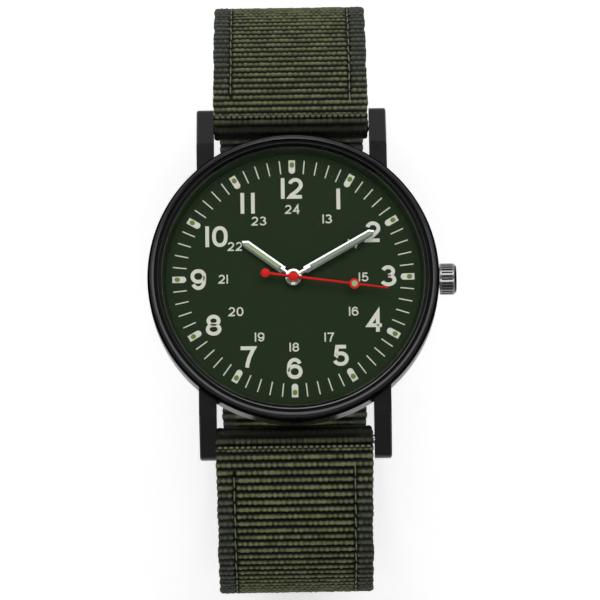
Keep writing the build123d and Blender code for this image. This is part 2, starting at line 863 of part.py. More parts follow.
def open_hand(angle, level, half_width, step, lume_start, shoulder, length, hole):
    """Adds a framed hand with a round hub and a neck to the part being built."""
    with BuildSketch(hand_plane(angle, level)) as framed:
        with BuildLine():
            Polyline(
                (-half_width, step),
                (half_width, step),
                (half_width, shoulder),
                (0, length),
                (-half_width, shoulder),
                close=True,
            )
        make_face()
        with Locations((0, step / 2)):
            Rectangle(2 * neck_half_width, step)
        Circle(hand_hub_radius)
        Circle(hole, mode=Mode.SUBTRACT)
        with BuildLine():
            Polyline(*window_outline(half_width, lume_start, shoulder, length, hand_frame_width), close=True)
        make_face(mode=Mode.SUBTRACT)
    extrude(framed.sketch, amount=hand_thickness)


def lume_filling(angle, level, half_width, lume_start, shoulder, length):
    """Adds the luminous filling of a hand's window to the part being built."""
    with BuildSketch(hand_plane(angle, level + lume_recess)) as window:
        with BuildLine():
            Polyline(*window_outline(half_width, lume_start, shoulder, length, hand_frame_width), close=True)
        make_face()
    extrude(window.sketch, amount=hand_thickness - 2 * lume_recess)


with BuildPart() as hour_hand:
    open_hand(hour_hand_angle, hour_hand_level, hour_hand_half_width, hour_hand_step,
              hour_hand_lume_start, hour_hand_shoulder, hour_hand_length, hour_tube_radius)
write_piece(hour_hand, "hour_hand")

with BuildPart() as hour_lume:
    lume_filling(hour_hand_angle, hour_hand_level, hour_hand_half_width, hour_hand_lume_start,
                 hour_hand_shoulder, hour_hand_length)
write_piece(hour_lume, "hour_hand_lume")

with BuildPart() as minute_hand:
    open_hand(minute_hand_angle, minute_hand_level, minute_hand_half_width, minute_hand_step,
              minute_hand_lume_start, minute_hand_shoulder, minute_hand_length, cannon_tube_radius)
write_piece(minute_hand, "minute_hand")

with BuildPart() as minute_lume:
    lume_filling(minute_hand_angle, minute_hand_level, minute_hand_half_width, minute_hand_lume_start,
                 minute_hand_shoulder, minute_hand_length)
write_piece(minute_lume, "minute_hand_lume")

with BuildPart() as second_hand:
    with BuildSketch(hand_plane(second_hand_angle, second_hand_level)):
        with BuildLine():
            Polyline(
                (-second_hand_root_half_width, -counterweight_place),
                (second_hand_root_half_width, -counterweight_place),
                (second_hand_tip_half_width, second_hand_length),
                (-second_hand_tip_half_width, second_hand_length),
                close=True,
            )
        make_face()
        Circle(second_hub_radius)
        with Locations((0, -counterweight_place)):
            Circle(counterweight_radius)
        with Locations((0, second_disc_place)):
            Circle(second_disc_radius)
            Circle(second_dot_radius, mode=Mode.SUBTRACT)
        Circle(pivot_radius, mode=Mode.SUBTRACT)
    extrude(amount=hand_thickness)
    with BuildSketch(hand_plane(second_hand_angle, second_top)):
        Circle(second_cap_radius)
    extrude(amount=second_cap_height)
write_piece(second_hand, "second_hand")

with BuildPart() as second_lume:
    with BuildSketch(hand_plane(second_hand_angle, second_hand_level + lume_recess)):
        with Locations((0, second_disc_place)):
            Circle(second_dot_radius)
    extrude(amount=hand_thickness - lume_recess)
write_piece(second_lume, "second_hand_lume")


def round_along_x(start, end, radius, mode=Mode.ADD):
    """Adds or cuts a round stretch about the stem's axis."""
    with BuildSketch(Plane.YZ.offset(start)) as disc:
        with Locations((0, stem_level)):
            Circle(radius)
    extrude(disc.sketch, amount=end - start, mode=mode)


# Crown tube, crown, its gasket and the stem
with BuildPart() as crown_tube:
    round_along_x(tube_start, tube_end, tube_outer)
    round_along_x(tube_start, tube_end, tube_bore, mode=Mode.SUBTRACT)
write_piece(crown_tube, "crown_tube")

recess_end = crown_inner + crown_recess_depth
post_start = crown_inner + crown_post_setback
flute_start = crown_inner + crown_collar_length
flute_length = crown_length - crown_collar_length - crown_cap_length
with BuildPart() as crown:
    round_along_x(crown_inner, crown_inner + crown_length, crown_radius)
    chamfer(crown.edges().group_by(Axis.X)[-1], length=crown_chamfer)
    with BuildSketch(Plane.YZ.offset(flute_start)):
        with Locations((0, stem_level)):
            with PolarLocations(crown_radius, crown_flutes):
                Rectangle(2 * crown_flute_depth, crown_flute_width)
    extrude(amount=flute_length, mode=Mode.SUBTRACT)
    round_along_x(crown_inner, recess_end, crown_recess_radius, mode=Mode.SUBTRACT)
    round_along_x(post_start, recess_end, crown_post_radius)
    round_along_x(post_start, post_start + stem_thread_depth, stem_radius, mode=Mode.SUBTRACT)
write_piece(crown, "crown")

with BuildPart() as crown_gasket:
    round_along_x(crown_gasket_start, crown_gasket_start + crown_gasket_width, crown_recess_radius)
    round_along_x(crown_gasket_start, crown_gasket_start + crown_gasket_width,
                  tube_outer + running_clearance, mode=Mode.SUBTRACT)
write_piece(crown_gasket, "crown_gasket")

groove_end = stem_groove_start + stem_groove_width
shoulder_start = stem_groove_start - stem_shoulder_width
with BuildPart() as stem:
    with BuildSketch(Plane.YZ.offset(stem_square_start)):
        with Locations((0, stem_level)):
            Rectangle(stem_square, stem_square)
    extrude(amount=shoulder_start - stem_square_start)
    round_along_x(shoulder_start, stem_groove_start, stem_bearing_radius)
    round_along_x(stem_groove_start, groove_end, stem_groove_radius)
    round_along_x(groove_end, stem_bearing_end, stem_bearing_radius)
    round_along_x(stem_bearing_end, post_start + stem_thread_depth, stem_radius)
write_piece(stem, "winding_stem")

with BuildPart() as sliding_pinion:
    with BuildSketch(Plane(origin=(pinion_start, 0, stem_level), x_dir=(0, 1, 0), z_dir=(1, 0, 0))):
        with BuildLine():
            Polyline(*gear_outline(pinion_teeth, pinion_module, 0), close=True)
        make_face()
        Rectangle(stem_square + 2 * pinion_square_clearance, stem_square + 2 * pinion_square_clearance,
                  mode=Mode.SUBTRACT)
    extrude(amount=pinion_length)
write_piece(sliding_pinion, "sliding_pinion")

with BuildPart() as setting_lever:
    with BuildSketch(Plane.XY.offset(lever_level)):
        with Locations(lever_pivot):
            Circle(lever_boss)
        with Locations(lever_finger):
            Circle(lever_finger_boss)
        make_hull()
        with Locations(lever_pivot):
            Circle(lever_post_radius + running_clearance, mode=Mode.SUBTRACT)
    extrude(amount=lever_thickness)
    shaft(lever_finger, lever_level, lever_level + lever_thickness + lever_finger_height,
          lever_finger_radius)
write_piece(setting_lever, "setting_lever")

# Spring bars: a tube with a sprung tip at each end
tip_pin_start = lug_inner
collar_start = tip_pin_start - tip_collar_length
head_end = bar_length / 2 - tip_travel


def bar_stretch(side, start, end, radius, mode=Mode.ADD):
    """Adds or cuts a round stretch about the spring bar at 12 (side 1) or 6 o'clock (side -1)."""
    with BuildSketch(Plane.YZ.offset(start)) as disc:
        with Locations((side * bar_reach, bar_level)):
            Circle(radius)
    extrude(disc.sketch, amount=end - start, mode=mode)


for side, hour in ((1, "12"), (-1, "6")):
    with BuildPart() as bar_tube:
        bar_stretch(side, -bar_length / 2, bar_length / 2, bar_radius)
        bar_stretch(side, -bar_length / 2, bar_length / 2, bar_bore, mode=Mode.SUBTRACT)
    write_piece(bar_tube, "spring_bar_tube_" + hour)
    for end, place in ((1, "crown_side"), (-1, "far_side")):
        with BuildPart() as bar_tip:
            bar_stretch(side, end * (head_end - tip_head_length), end * collar_start, tip_head_radius)
            bar_stretch(side, end * collar_start, end * tip_pin_start, tip_collar_radius)
            bar_stretch(side, end * tip_pin_start, end * (tip_pin_start + tip_pin_length), tip_pin_radius)
        write_piece(bar_tip, "spring_bar_tip_" + hour + "_" + place)

# Strap: the route of its middle surface, seen from the crown side
roll_radius = bar_radius + strap_roll_clearance + strap_thickness / 2
hinge_roll = hinge_radius + hinge_clearance + strap_thickness / 2


def heading(side, degrees):
    """Direction of travel that far below the horizontal, outwards from the case."""
    angle = math.radians(degrees)
    return (side * math.cos(angle), -math.sin(angle))


def roll_point(side, degrees, turn):
    """Point of the roll round a spring bar where the heading is that of the band."""
    angle = math.radians(degrees)
    return (
        side * (bar_reach + turn * roll_radius * math.sin(angle)),
        bar_level + turn * roll_radius * math.cos(angle),
    )


def drop(radius, start, end):
    """How far an arc falls while the heading turns from start to end degrees."""
    return radius * (math.cos(math.radians(start)) - math.cos(math.radians(end)))


def side_arcs(run_radius, shoulder_radius):
    """Radii and turns from the lug to the flat back, the third radius set by the back's level."""
    steps = [strap_leaving_angle]
    for turn in strap_turns:
        steps.append(steps[-1] + turn)
    fall = roll_point(1, strap_leaving_angle, 1)[1] - strap_back_level
    fall -= drop(run_radius, steps[0], steps[1]) + drop(shoulder_radius, steps[1], steps[2])
    fall -= drop(heel_radius, steps[3], steps[4])
    side_radius = fall / drop(1, steps[2], steps[3])
    return zip((run_radius, shoulder_radius, side_radius, heel_radius), strap_turns)


def lug_roll_and_run(side, run_radius, shoulder_radius):
    """Draws the sewn tab, the roll round the spring bar and the arcs down to the flat back."""
    tab_heading = strap_leaving_angle - tab_angle
    tab_end = roll_point(side, tab_heading, -1)
    outwards = heading(side, tab_heading)
    tab_start = (tab_end[0] + tab_length * outwards[0], tab_end[1] + tab_length * outwards[1])
    Line(tab_start, tab_end)
    last = JernArc(tab_end, (-outwards[0], -outwards[1]), roll_radius, -side * (180.0 + tab_angle))
    for radius, turn in side_arcs(run_radius, shoulder_radius):
        last = JernArc(last @ 1, last % 1, radius, -side * turn)
    return last


hinge_level = strap_back_level + hinge_roll
hinge_place = (hinge_y, hinge_level)
fold_bends = drop(hinge_roll + fold_bend_radius, 0, fold_angle)
fold_fall = 2 * hinge_roll - strap_thickness - layer_gap - fold_bends
fold_slope_length = fold_fall / math.sin(math.radians(fold_angle))
with BuildPart() as strap_short:
    with BuildSketch(Plane.YZ):
        with BuildLine() as short_route:
            flat_start = lug_roll_and_run(1, upper_run_radius, upper_shoulder_radius) @ 1
            Line(flat_start, (hinge_y, strap_back_level))
            fold = JernArc((hinge_y, strap_back_level), (-1, 0), hinge_roll, -(180.0 + fold_angle))
            slope = Line(fold @ 1, fold @ 1 + (fold % 1) * fold_slope_length)
            flatten = JernArc(slope @ 1, slope % 1, fold_bend_radius, fold_angle)
            Line(flatten @ 1, flatten @ 1 + (flatten % 1) * fold_tab_length)
        trace(lines=short_route.line, line_width=strap_thickness)
    extrude(amount=strap_width / 2, both=True)
    with BuildSketch(Plane.YZ):
        with Locations((hinge_y - tang_eye_radius / 2, hinge_level)):
            Rectangle(4 * tang_eye_radius, 4 * tang_eye_radius)
    extrude(amount=tang_notch_width / 2, both=True, mode=Mode.SUBTRACT)
write_piece(strap_short, "strap_short")

# The long strap runs inside the buckle's end bar, over the hinge bar and out over the short strap
tail_level = strap_back_level - strap_thickness - layer_gap
tail_shift = strap_back_level - tail_level
tail_rise = math.degrees(math.acos(1 - tail_shift / 2 / tail_turn_radius))
tail_rise_end = hinge_y - hinge_roll
tail_rise_start = tail_rise_end - 2 * tail_turn_radius * math.sin(math.radians(tail_rise))
bar_drop = strap_thickness / 2 + frame_bar_gap + frame_bar_radius
frame_bar_level = strap_back_level - bar_drop
frame_bar_y = hinge_y - frame_length
tang_rest_level = frame_bar_level - frame_bar_radius + tang_groove - tang_thickness / 2
tang_slope = math.atan2(hinge_level - tang_rest_level, frame_length)


def tang_point(distance, side_step, swing):
    """Point beside the tang's middle line, with the tang swung outwards by some degrees."""
    angle = tang_slope + math.radians(swing)
    return (
        hinge_y - distance * math.cos(angle) - side_step * math.sin(angle),
        hinge_level - distance * math.sin(angle) + side_step * math.cos(angle),
    )


tang_reach = frame_length + frame_bar_radius + tang_overhang
slot_half = tang_thickness / 2 + frame_bar_gap
with BuildPart() as strap_long:
    with BuildSketch(Plane.YZ):
        with BuildLine() as long_route:
            back_start = lug_roll_and_run(-1, lower_run_radius, lower_shoulder_radius) @ 1
            Line(back_start, (tail_rise_start, strap_back_level))
            down = JernArc((tail_rise_start, strap_back_level), (1, 0), tail_turn_radius, -tail_rise)
            level = JernArc(down @ 1, down % 1, tail_turn_radius, tail_rise)
            Line(level @ 1, (flat_start.X, tail_level))
            tail_curve = JernArc((flat_start.X, tail_level), (1, 0),
                                 heel_radius + strap_back_level - tail_level, tail_curve_angle)
        trace(lines=long_route.line, line_width=strap_thickness)
    extrude(amount=strap_width / 2, both=True)
    tail_end = strap_long.faces().sort_by_distance((0, (tail_curve @ 1).X, (tail_curve @ 1).Y))[0]
    tail_edges = tail_end.edges().sort_by(Axis.X)
    fillet((tail_edges[0], tail_edges[-1]), radius=tail_corner)
    with BuildSketch(Plane.YZ):
        with BuildLine():
            Polyline(
                tang_point(tang_eye_radius, slot_half, 0),
                tang_point(tang_reach / 2 + tang_eye_radius, slot_half, 0),
                tang_point(tang_reach / 2 + tang_eye_radius, -slot_half, tang_swing),
                tang_point(tang_eye_radius, -slot_half, tang_swing),
                close=True,
            )
        make_face()
    extrude(amount=tail_hole_width / 2, both=True, mode=Mode.SUBTRACT)
    with BuildSketch(Plane.XY.offset(strap_back_level - strap_thickness)):
        for hole in range(1, tail_hole_count):
            with Locations((0, tail_rise_start - hole * tail_hole_pitch)):
                Circle(tail_hole_radius)
    extrude(amount=2 * strap_thickness, mode=Mode.SUBTRACT)
write_piece(strap_long, "strap_long")

# Buckle frame: two arms and the end bar, with a seat for the tang
frame_inner = frame_inner_width / 2
with BuildPart() as buckle_frame:
    for start in (frame_inner, -frame_inner - frame_arm_width):
        with BuildSketch(Plane.YZ.offset(start)):
            with Locations(hinge_place, (frame_bar_y, frame_bar_level)):
                Circle(frame_arm_radius)
            make_hull()
            with Locations(hinge_place):
                Circle(hinge_radius + running_clearance, mode=Mode.SUBTRACT)
        extrude(amount=frame_arm_width)
    with BuildSketch(Plane.YZ.offset(-frame_inner)):
        with Locations((frame_bar_y, frame_bar_level)):
            Circle(frame_bar_radius)
    extrude(amount=frame_inner_width)
    with BuildSketch(Plane.YZ):
        with BuildLine():
            Polyline(
                tang_point(frame_length / 2, tang_thickness / 2, 0),
                tang_point(tang_reach + overrun, tang_thickness / 2, 0),
                tang_point(tang_reach + overrun, -tang_thickness, 0),
                tang_point(frame_length / 2, -tang_thickness, 0),
                close=True,
            )
        make_face()
    extrude(amount=tang_notch_width / 2, both=True, mode=Mode.SUBTRACT)
write_piece(buckle_frame, "buckle_frame")

with BuildPart() as buckle_pin:
    with BuildSketch(Plane.YZ.offset(-frame_inner - frame_arm_width)):
        with Locations(hinge_place):
            Circle(hinge_radius)
    extrude(amount=frame_inner_width + 2 * frame_arm_width)
write_piece(buckle_pin, "buckle_hinge_pin")

with BuildPart() as buckle_tang:
    with BuildSketch(Plane.YZ):
        with BuildLine():
            Polyline(
                tang_point(0, tang_thickness / 2, 0),
                tang_point(tang_reach, tang_thickness / 2, 0),
                tang_point(tang_reach, -tang_thickness / 2, 0),
                tang_point(0, -tang_thickness / 2, 0),
                close=True,
            )
        make_face()
        with Locations(hinge_place):
            Circle(tang_eye_radius)
            Circle(hinge_radius + hinge_clearance, mode=Mode.SUBTRACT)
    extrude(amount=tang_width / 2, both=True)
write_piece(buckle_tang, "buckle_tang")

# Keepers: woven loops round both bands
keeper_inside = strap_back_level + strap_thickness * 3 / 2 + layer_gap + keeper_clearance
keeper_outside = tail_level - strap_thickness / 2 - keeper_clearance
keeper_middle = (keeper_inside + keeper_outside) / 2
keeper_height = keeper_inside - keeper_outside
keeper_opening = strap_width + 2 * keeper_clearance
for name, start in (("keeper_fixed", fixed_keeper_start), ("keeper_floating", floating_keeper_start)):
    with BuildPart() as keeper:
        with BuildSketch(Plane.XZ.offset(-start)):
            with Locations((0, keeper_middle)):
                RectangleRounded(keeper_opening + 2 * keeper_thickness, keeper_height + 2 * keeper_thickness,
                                 keeper_corner)
                Rectangle(keeper_opening, keeper_height, mode=Mode.SUBTRACT)
        extrude(amount=-keeper_width)
    write_piece(keeper, name)

print("back strap flat from", round(back_start.X, 2), "to", round(flat_start.X, 2))
print("hinge", hinge_place, "end bar", (frame_bar_y, frame_bar_level))
print("setting lever swing, degrees", round(2 * math.degrees(lever_lean), 3))
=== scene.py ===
"""Field watch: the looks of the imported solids, laid out as an add-on and run as a script."""

import math
import random

import bpy
from mathutils import Matrix, Vector


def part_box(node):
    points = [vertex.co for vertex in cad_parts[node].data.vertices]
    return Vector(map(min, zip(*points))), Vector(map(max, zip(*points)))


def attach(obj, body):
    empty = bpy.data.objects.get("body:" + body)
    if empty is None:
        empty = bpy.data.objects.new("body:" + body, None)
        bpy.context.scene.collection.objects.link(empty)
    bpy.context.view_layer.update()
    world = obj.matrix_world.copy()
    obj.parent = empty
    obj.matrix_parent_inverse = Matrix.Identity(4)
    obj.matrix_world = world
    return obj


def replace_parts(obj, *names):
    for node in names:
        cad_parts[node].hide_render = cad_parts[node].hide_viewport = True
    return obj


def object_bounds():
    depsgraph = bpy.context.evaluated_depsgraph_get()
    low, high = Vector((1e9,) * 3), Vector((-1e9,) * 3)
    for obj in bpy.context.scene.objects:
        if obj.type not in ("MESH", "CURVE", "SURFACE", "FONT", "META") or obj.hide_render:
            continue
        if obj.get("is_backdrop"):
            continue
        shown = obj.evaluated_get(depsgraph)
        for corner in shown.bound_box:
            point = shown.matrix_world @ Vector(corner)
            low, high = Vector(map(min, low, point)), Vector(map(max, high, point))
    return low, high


bl_info = {
    "name": "Field watch",
    "version": (1, 0, 0),
    "blender": (4, 5, 0),
    "location": "3D View > Sidebar > Watch",
    "description": "Builds a field watch on its packed solids",
    "category": "Add Mesh",
}

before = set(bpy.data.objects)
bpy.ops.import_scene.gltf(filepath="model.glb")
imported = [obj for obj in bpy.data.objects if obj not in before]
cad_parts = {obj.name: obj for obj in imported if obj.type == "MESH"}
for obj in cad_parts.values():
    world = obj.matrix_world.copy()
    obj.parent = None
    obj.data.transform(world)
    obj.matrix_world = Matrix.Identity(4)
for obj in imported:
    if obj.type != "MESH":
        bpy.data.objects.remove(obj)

MM = 0.001

# Levels and places shared with the solids, in millimetres, and angles in degrees
DIAL_TOP = 4.8
CRYSTAL_RADIUS = 19.0
BAR_REACH = 22.6
BAR_LEVEL = 1.9
TAB_LENGTH = 7.0
TAB_LEAN = 16.0
ROLL_RADIUS = 1.4
ROLL_TURN = 188.0
BACK_LEVEL = -46.0
BACK_RADIUS = 16.0
HINGE_PLACE = (6.5, -44.75)
HINGE_ROLL = 1.25
BAND_THICKNESS = 1.2
LAYER_STEP = 1.26

# Steps round the dial in degrees
HOUR = 30.0
MINUTE = 6.0

# Sizes of the looks, in millimetres
HOUR_GAP = 0.42
AFTERNOON_GAP = 0.2
ELEVEN_GAP = 0.95
HUB_BORE = 0.6
SEWN_PLACE = 8.5
STITCH_STEP = 2.0
SEAM_STEP = 0.8
PHOTO_MIDDLE = (0.88, -3.148, DIAL_TOP)

# Reach of a bead of cord, as shares of the steps from rib to rib and from bead to bead
BEAD_LENGTH = 0.46
BEAD_WIDTH = 0.78

BLACK = (0.0, 0.0, 0.0)
WHITE = (1.0, 1.0, 1.0)


def number(name, description, default, **kind):
    """A property of one number."""
    return bpy.props.FloatProperty(name=name, description=description, default=default, **kind)


def millimetres(name, description, default, smallest=0.01):
    """A length property in metres, its default given in millimetres."""
    return number(name, description, default * MM, min=smallest * MM, unit="LENGTH", precision=5)


def colour(name, description, default):
    """A colour property."""
    return bpy.props.FloatVectorProperty(
        name=name, description=description, default=default, size=3, min=0.0, max=1.0, subtype="COLOR"
    )


class DialSettings(bpy.types.PropertyGroup):
    """What is printed on the dial."""

    numeral_height: millimetres("Numeral height", "Height of the hour numerals", 3.0)
    numeral_width: millimetres("Numeral width", "Width of one hour numeral", 2.2)
    numeral_stroke: millimetres("Numeral stroke", "Width of the line of the hour numerals", 0.53)
    small_height: millimetres("Small numeral height", "Height of the afternoon numerals", 1.28)
    small_width: millimetres("Small numeral width", "Width of one afternoon numeral", 0.95)
    small_stroke: millimetres("Small numeral stroke", "Width of the line of the afternoon numerals", 0.2)
    paint_rise: millimetres("Paint rise", "How far the print stands above the dial", 0.03, 0.001)
    track_radius: millimetres("Track radius", "Radius of the middle of the minute track", 16.05)
    tick_length: millimetres("Tick length", "Length of a minute tick", 1.96)
    tick_width: millimetres("Tick width", "Width of a minute tick", 0.2)
    marker_length: millimetres("Marker length", "Length of an hour marker", 1.95)
    marker_width: millimetres("Marker width", "Width of an hour marker", 0.93)
    dot_width: millimetres("Dot width", "Width of the luminous dot on a marker", 0.68)
    ground: colour("Dial", "Colour of the dial's enamel", (0.0165, 0.031, 0.0115))
    print: colour("Print", "Colour of the numerals and markers", (0.82, 0.78, 0.71))
    dot: colour("Dot", "Colour of the luminous dots", (0.17, 0.25, 0.03))


class HandSettings(bpy.types.PropertyGroup):
    """Finish of the hands."""

    lume: colour("Lume", "Colour of the luminous fillings", (0.37, 0.49, 0.25))
    minute_lume: colour("Minute lume", "Colour of the minute hand's filling", (0.3, 0.35, 0.25))
    polish: colour("Polish", "Colour of the polished hands", (0.72, 0.72, 0.71))
    seconds: colour("Second hand", "Colour of the second hand", (0.76, 0.009, 0.005))


class CaseSettings(bpy.types.PropertyGroup):
    """Finish of the case."""

    coating: colour("Coating", "Colour of the case's coating", (0.006, 0.006, 0.0065))
    bezel: colour("Bezel", "Colour of the bezel's mirror coating", (0.045, 0.045, 0.046))
    crown: colour("Crown", "Colour of the crown's mirror coating", (0.34, 0.34, 0.345))
    steel: colour("Steel", "Colour of the bare steel", (0.6, 0.6, 0.59))


class StrapSettings(bpy.types.PropertyGroup):
    """Weave of the strap."""

    rib_pitch: millimetres("Rib pitch", "Distance between two ribs along the strap", 1.13)
    bead_pitch: millimetres("Bead pitch", "Distance between two beads of a rib", 0.8)
    band_width: millimetres("Band width", "Width of the woven band at its edges", 22.1)
    relief: millimetres("Relief", "Depth of the grooves between ribs", 0.52)
    thread_width: millimetres("Thread width", "Thickness of the sewing thread", 0.2)
    ridge: colour("Ridge", "Colour of the ribs", (0.18, 0.201, 0.092))
    # Partly painted shade: the selvedges' colour is darker than the ribs as well as greyer
    selvedge_and_shade: colour("Selvedge", "Colour of the ribs outside the seams", (0.085, 0.096, 0.072))
    # Painted shade: the near-black colour between the ribs stands in for the shade in the grooves
    groove_shade: colour("Groove", "Colour between the ribs", (0.0035, 0.0052, 0.0022))
    thread: colour("Thread", "Colour of the sewing thread", (0.15, 0.165, 0.085))


class StageSettings(bpy.types.PropertyGroup):
    """Camera, lamps and floor."""

    focal: number("Focal length", "Lens of the camera in millimetres", 239.3, min=10.0)
    distance: millimetres("Distance", "From the camera to the dial", 560.0)
    tilt: number("Tilt", "Lean of the camera towards 6 o'clock", math.radians(11.5), subtype="ANGLE")
    roll: number("Roll", "Turn of the picture", math.radians(-0.85), subtype="ANGLE")
    floor: colour("Floor", "Colour of the floor", (0.86, 0.86, 0.86))
    light: number("Light", "Strength of the light from all round", 0.26, min=0.0)


def math_method(operation, reflected=False):
    """A method that adds a Math node on a wire and a second value, which comes first if it is reflected."""

    def method(self, other=0.0):
        first, second = (other, self) if reflected else (self, other)
        return self.nodes.node("Math", {"operation": operation}, {0: first, 1: second})

    return method


class Wire:
    """A node's output that takes part in sums."""

    __add__ = __radd__ = math_method("ADD")
    __rsub__ = math_method("SUBTRACT", reflected=True)
    __mul__ = __rmul__ = math_method("MULTIPLY")
    __pow__ = math_method("POWER")
    at_least = math_method("MAXIMUM")
    at_most = math_method("MINIMUM")
    absolute = math_method("ABSOLUTE")
    sine = math_method("SINE")

    def __init__(self, nodes, node, output):
        self.nodes = nodes
        self.node = node
        self.output = output

    def set(self, name, value):
        """Gives one of the node's sockets a number, a colour or a wire."""
        socket = self.node.inputs[name]
        if isinstance(value, Wire):
            self.nodes.tree.links.new(value.node.outputs[value.output], socket)
        elif socket.type == "RGBA":
            socket.default_value = (*value, 1.0)
        else:
            socket.default_value = value


class Nodes:
    """The node tree of a material or a world, emptied and then filled through one method."""

    def __init__(self, owner):
        owner.use_nodes = True
        self.tree = owner.node_tree
        self.tree.nodes.clear()

    def node(self, kind, settings, sockets, output=0):
        """Adds a node; its settings are set first, then the values and links of its sockets."""
        made = self.tree.nodes.new("ShaderNode" + kind)
        for name, value in settings.items():
            setattr(made, name, value)
        wire = Wire(self, made, output)
        for name, value in sockets.items():
            wire.set(name, value)
        return wire


class Finish(Nodes):
    """A material that is built round one main shader."""

    def __init__(self, name, **constants):
        self.material = bpy.data.materials.new(name)
        super().__init__(self.material)
        self.shader = self.node("BsdfPrincipled", {}, {})
        self.surface = self.node("OutputMaterial", {}, {"Surface": self.shader})
        for socket, value in constants.items():
            self.set(socket.replace("_", " "), value)

    def set(self, socket, value):
        """Gives one of the main shader's sockets a number, a colour or a wire."""
        self.shader.set(socket, value)

    def place(self, scale=(1.0, 1.0, 1.0)):
        """Object coordinates in millimetres, stretched by scale."""
        coordinates = self.node("TexCoord", {}, {}, "Object")
        return self.node("Mapping", {}, {"Vector": coordinates, "Scale": [share / MM for share in scale]})

    def noise(self, waves, detail=2.0, stretch=(1.0, 1.0, 1.0)):
        """Noise from 0 to 1 with that many waves to the millimetre."""
        return self.node("TexNoise", {}, {"Vector": self.place(stretch), "Scale": waves, "Detail": detail})

    def radius(self, middle, counted):
        """Distance in millimetres from a middle; counted holds 1 for each direction that counts."""
        arm = self.node("VectorMath", {"operation": "SUBTRACT"}, {0: self.place(), 1: middle})
        flat = self.node("VectorMath", {"operation": "MULTIPLY"}, {0: arm, 1: counted})
        return self.node("VectorMath", {"operation": "LENGTH"}, {0: flat}, "Value")

    def ease(self, value, start, end, low, high):
        """Goes smoothly from low to high while a value goes from start to end."""
        sockets = {0: value, 1: start, 2: end, 3: low, 4: high}
        return self.node("MapRange", {"interpolation_type": "SMOOTHSTEP"}, sockets)

    def blend(self, share, first, second):
        """A colour between two colours."""
        return self.node("Mix", {"data_type": "RGBA"}, {0: share, 6: first, 7: second}, output=2)

    def bump(self, height, depth):
        """Bends the surface by a height from 0 to 1 that stands for a depth in millimetres."""
        self.set("Normal", self.node("Bump", {}, {"Height": height, "Distance": depth * MM}))

    def cover(self, grain, tone, darkest, lightest, roughness, spread, depth):
        """Lets one grain vary the tone between two shares of it, the roughness and the height."""
        self.set("Base Color", self.blend(grain, scaled(tone, darkest), scaled(tone, lightest)))
        self.set("Roughness", grain * spread + roughness)
        self.bump(grain, depth)
        return self.material


def scaled(tone, share):
    """A colour made lighter or darker."""
    return tuple(min(1.0, part * share) for part in tone)


def enamel_finish(name, tone, grain=0.12, roughness=0.5, speckle=6.0, **constants):
    """Paint or enamel with a fine grain."""
    finish = Finish(name, **constants)
    return finish.cover(finish.noise(speckle, 4.0), tone, 1 - grain, 1 + grain, roughness - 0.06, 0.12, 0.004)


def gloss_coat_finish(name, tone):
    """Hard dark coating over polished steel, with faint wear in its gloss."""
    finish = Finish(name, IOR=1.5)
    wear = finish.noise(0.35, 5.0)
    fine = finish.noise(9.0, 2.0)
    finish.set("Base Color", finish.blend(wear, scaled(tone, 0.8), scaled(tone, 1.3)))
    finish.set("Roughness", wear * 0.1 + fine * 0.04 + 0.09)
    finish.bump(fine, 0.0015)
    return finish.material


def mirror_coat_finish(name, tone, roughness):
    """Dark mirror coating that stays dark where it is seen at a low angle."""
    finish = Finish(name, Metallic=1.0, Specular_Tint=(0.1, 0.1, 0.1))
    return finish.cover(finish.noise(0.35, 5.0), tone, 0.85, 1.2, roughness - 0.05, 0.1, 0.002)


def fluted_painted_shade_finish(name, tone, middle, valley, ridge):
    """Coating of a fluted knob along X, bright on its ridges and dark in its valleys with painted shade, in
    millimetres.
    """
    finish = Finish(name, Metallic=1.0)
    # Painted shade: the colour falls to black from the ridge radius down to the valley radius
    share = finish.ease(finish.radius(middle, (0.0, 1.0, 1.0)), valley, ridge, 0.03, 1.0)
    wear = finish.noise(0.6, 4.0)
    finish.set("Base Color", finish.blend(share * (wear * 0.3 + 0.85), BLACK, tone))
    finish.set("Roughness", wear * 0.1 + 0.2)
    finish.bump(wear, 0.002)
    return finish.material


def brushed_finish(name, tone, stretch=(0.2, 6.0, 6.0), roughness=0.32):
    """Metal with lines from brushing along one direction."""
    finish = Finish(name, Metallic=1.0)
    return finish.cover(finish.noise(2.5, 3.0, stretch), tone, 0.86, 1.08, roughness - 0.08, 0.16, 0.003)


def polished_finish(name, tone):
    """Mirror-bright metal with the least haze."""
    finish = Finish(name, Metallic=1.0)
    return finish.cover(finish.noise(1.2, 3.0), tone, 0.95, 1.05, 0.1, 0.08, 0.002)


def circular_brush_finish(name, tone):
    """Metal with rings from turning about the watch's axis."""
    finish = Finish(name, Metallic=1.0)
    radius = finish.radius((0.0, 0.0, 0.0), (1.0, 1.0, 0.0))
    rings = finish.node("TexNoise", {"noise_dimensions": "1D"}, {"W": radius, "Scale": 9.0, "Detail": 4.0})
    return finish.cover(rings, tone, 0.88, 1.06, 0.22, 0.2, 0.003)


def moulded_finish(name, tone, roughness=0.55, **constants):
    """Moulded plastic or rubber with a soft texture."""
    finish = Finish(name, **constants)
    return finish.cover(finish.noise(1.5, 5.0), tone, 0.9, 1.1, roughness - 0.07, 0.15, 0.01)


def lume_finish(name, tone):
    """Luminous paint: matte, slightly uneven grains."""
    finish = Finish(name)
    return finish.cover(finish.noise(5.0, 6.0), tone, 0.82, 1.18, 0.7, 0.1, 0.02)


def crystal_finish(name):
    """Coated flat glass that lets light straight through and mirrors a little."""
    finish = Finish(name, Roughness=0.02, Base_Color=BLACK, Specular_IOR_Level=1.0)
    clear = finish.node("BsdfTransparent", {}, {"Color": (0.96, 0.975, 0.965)})
    slant = finish.node("LayerWeight", {}, {"Blend": 0.5}, "Facing")
    smear = finish.noise(0.08, 2.0)
    share = (slant ** 5.0 * 0.7 + 0.0035) * (smear * 0.3 + 0.85)
    finish.surface.set("Surface", finish.node("MixShader", {}, {0: share, 1: clear, 2: finish.shader}))
    return finish.material


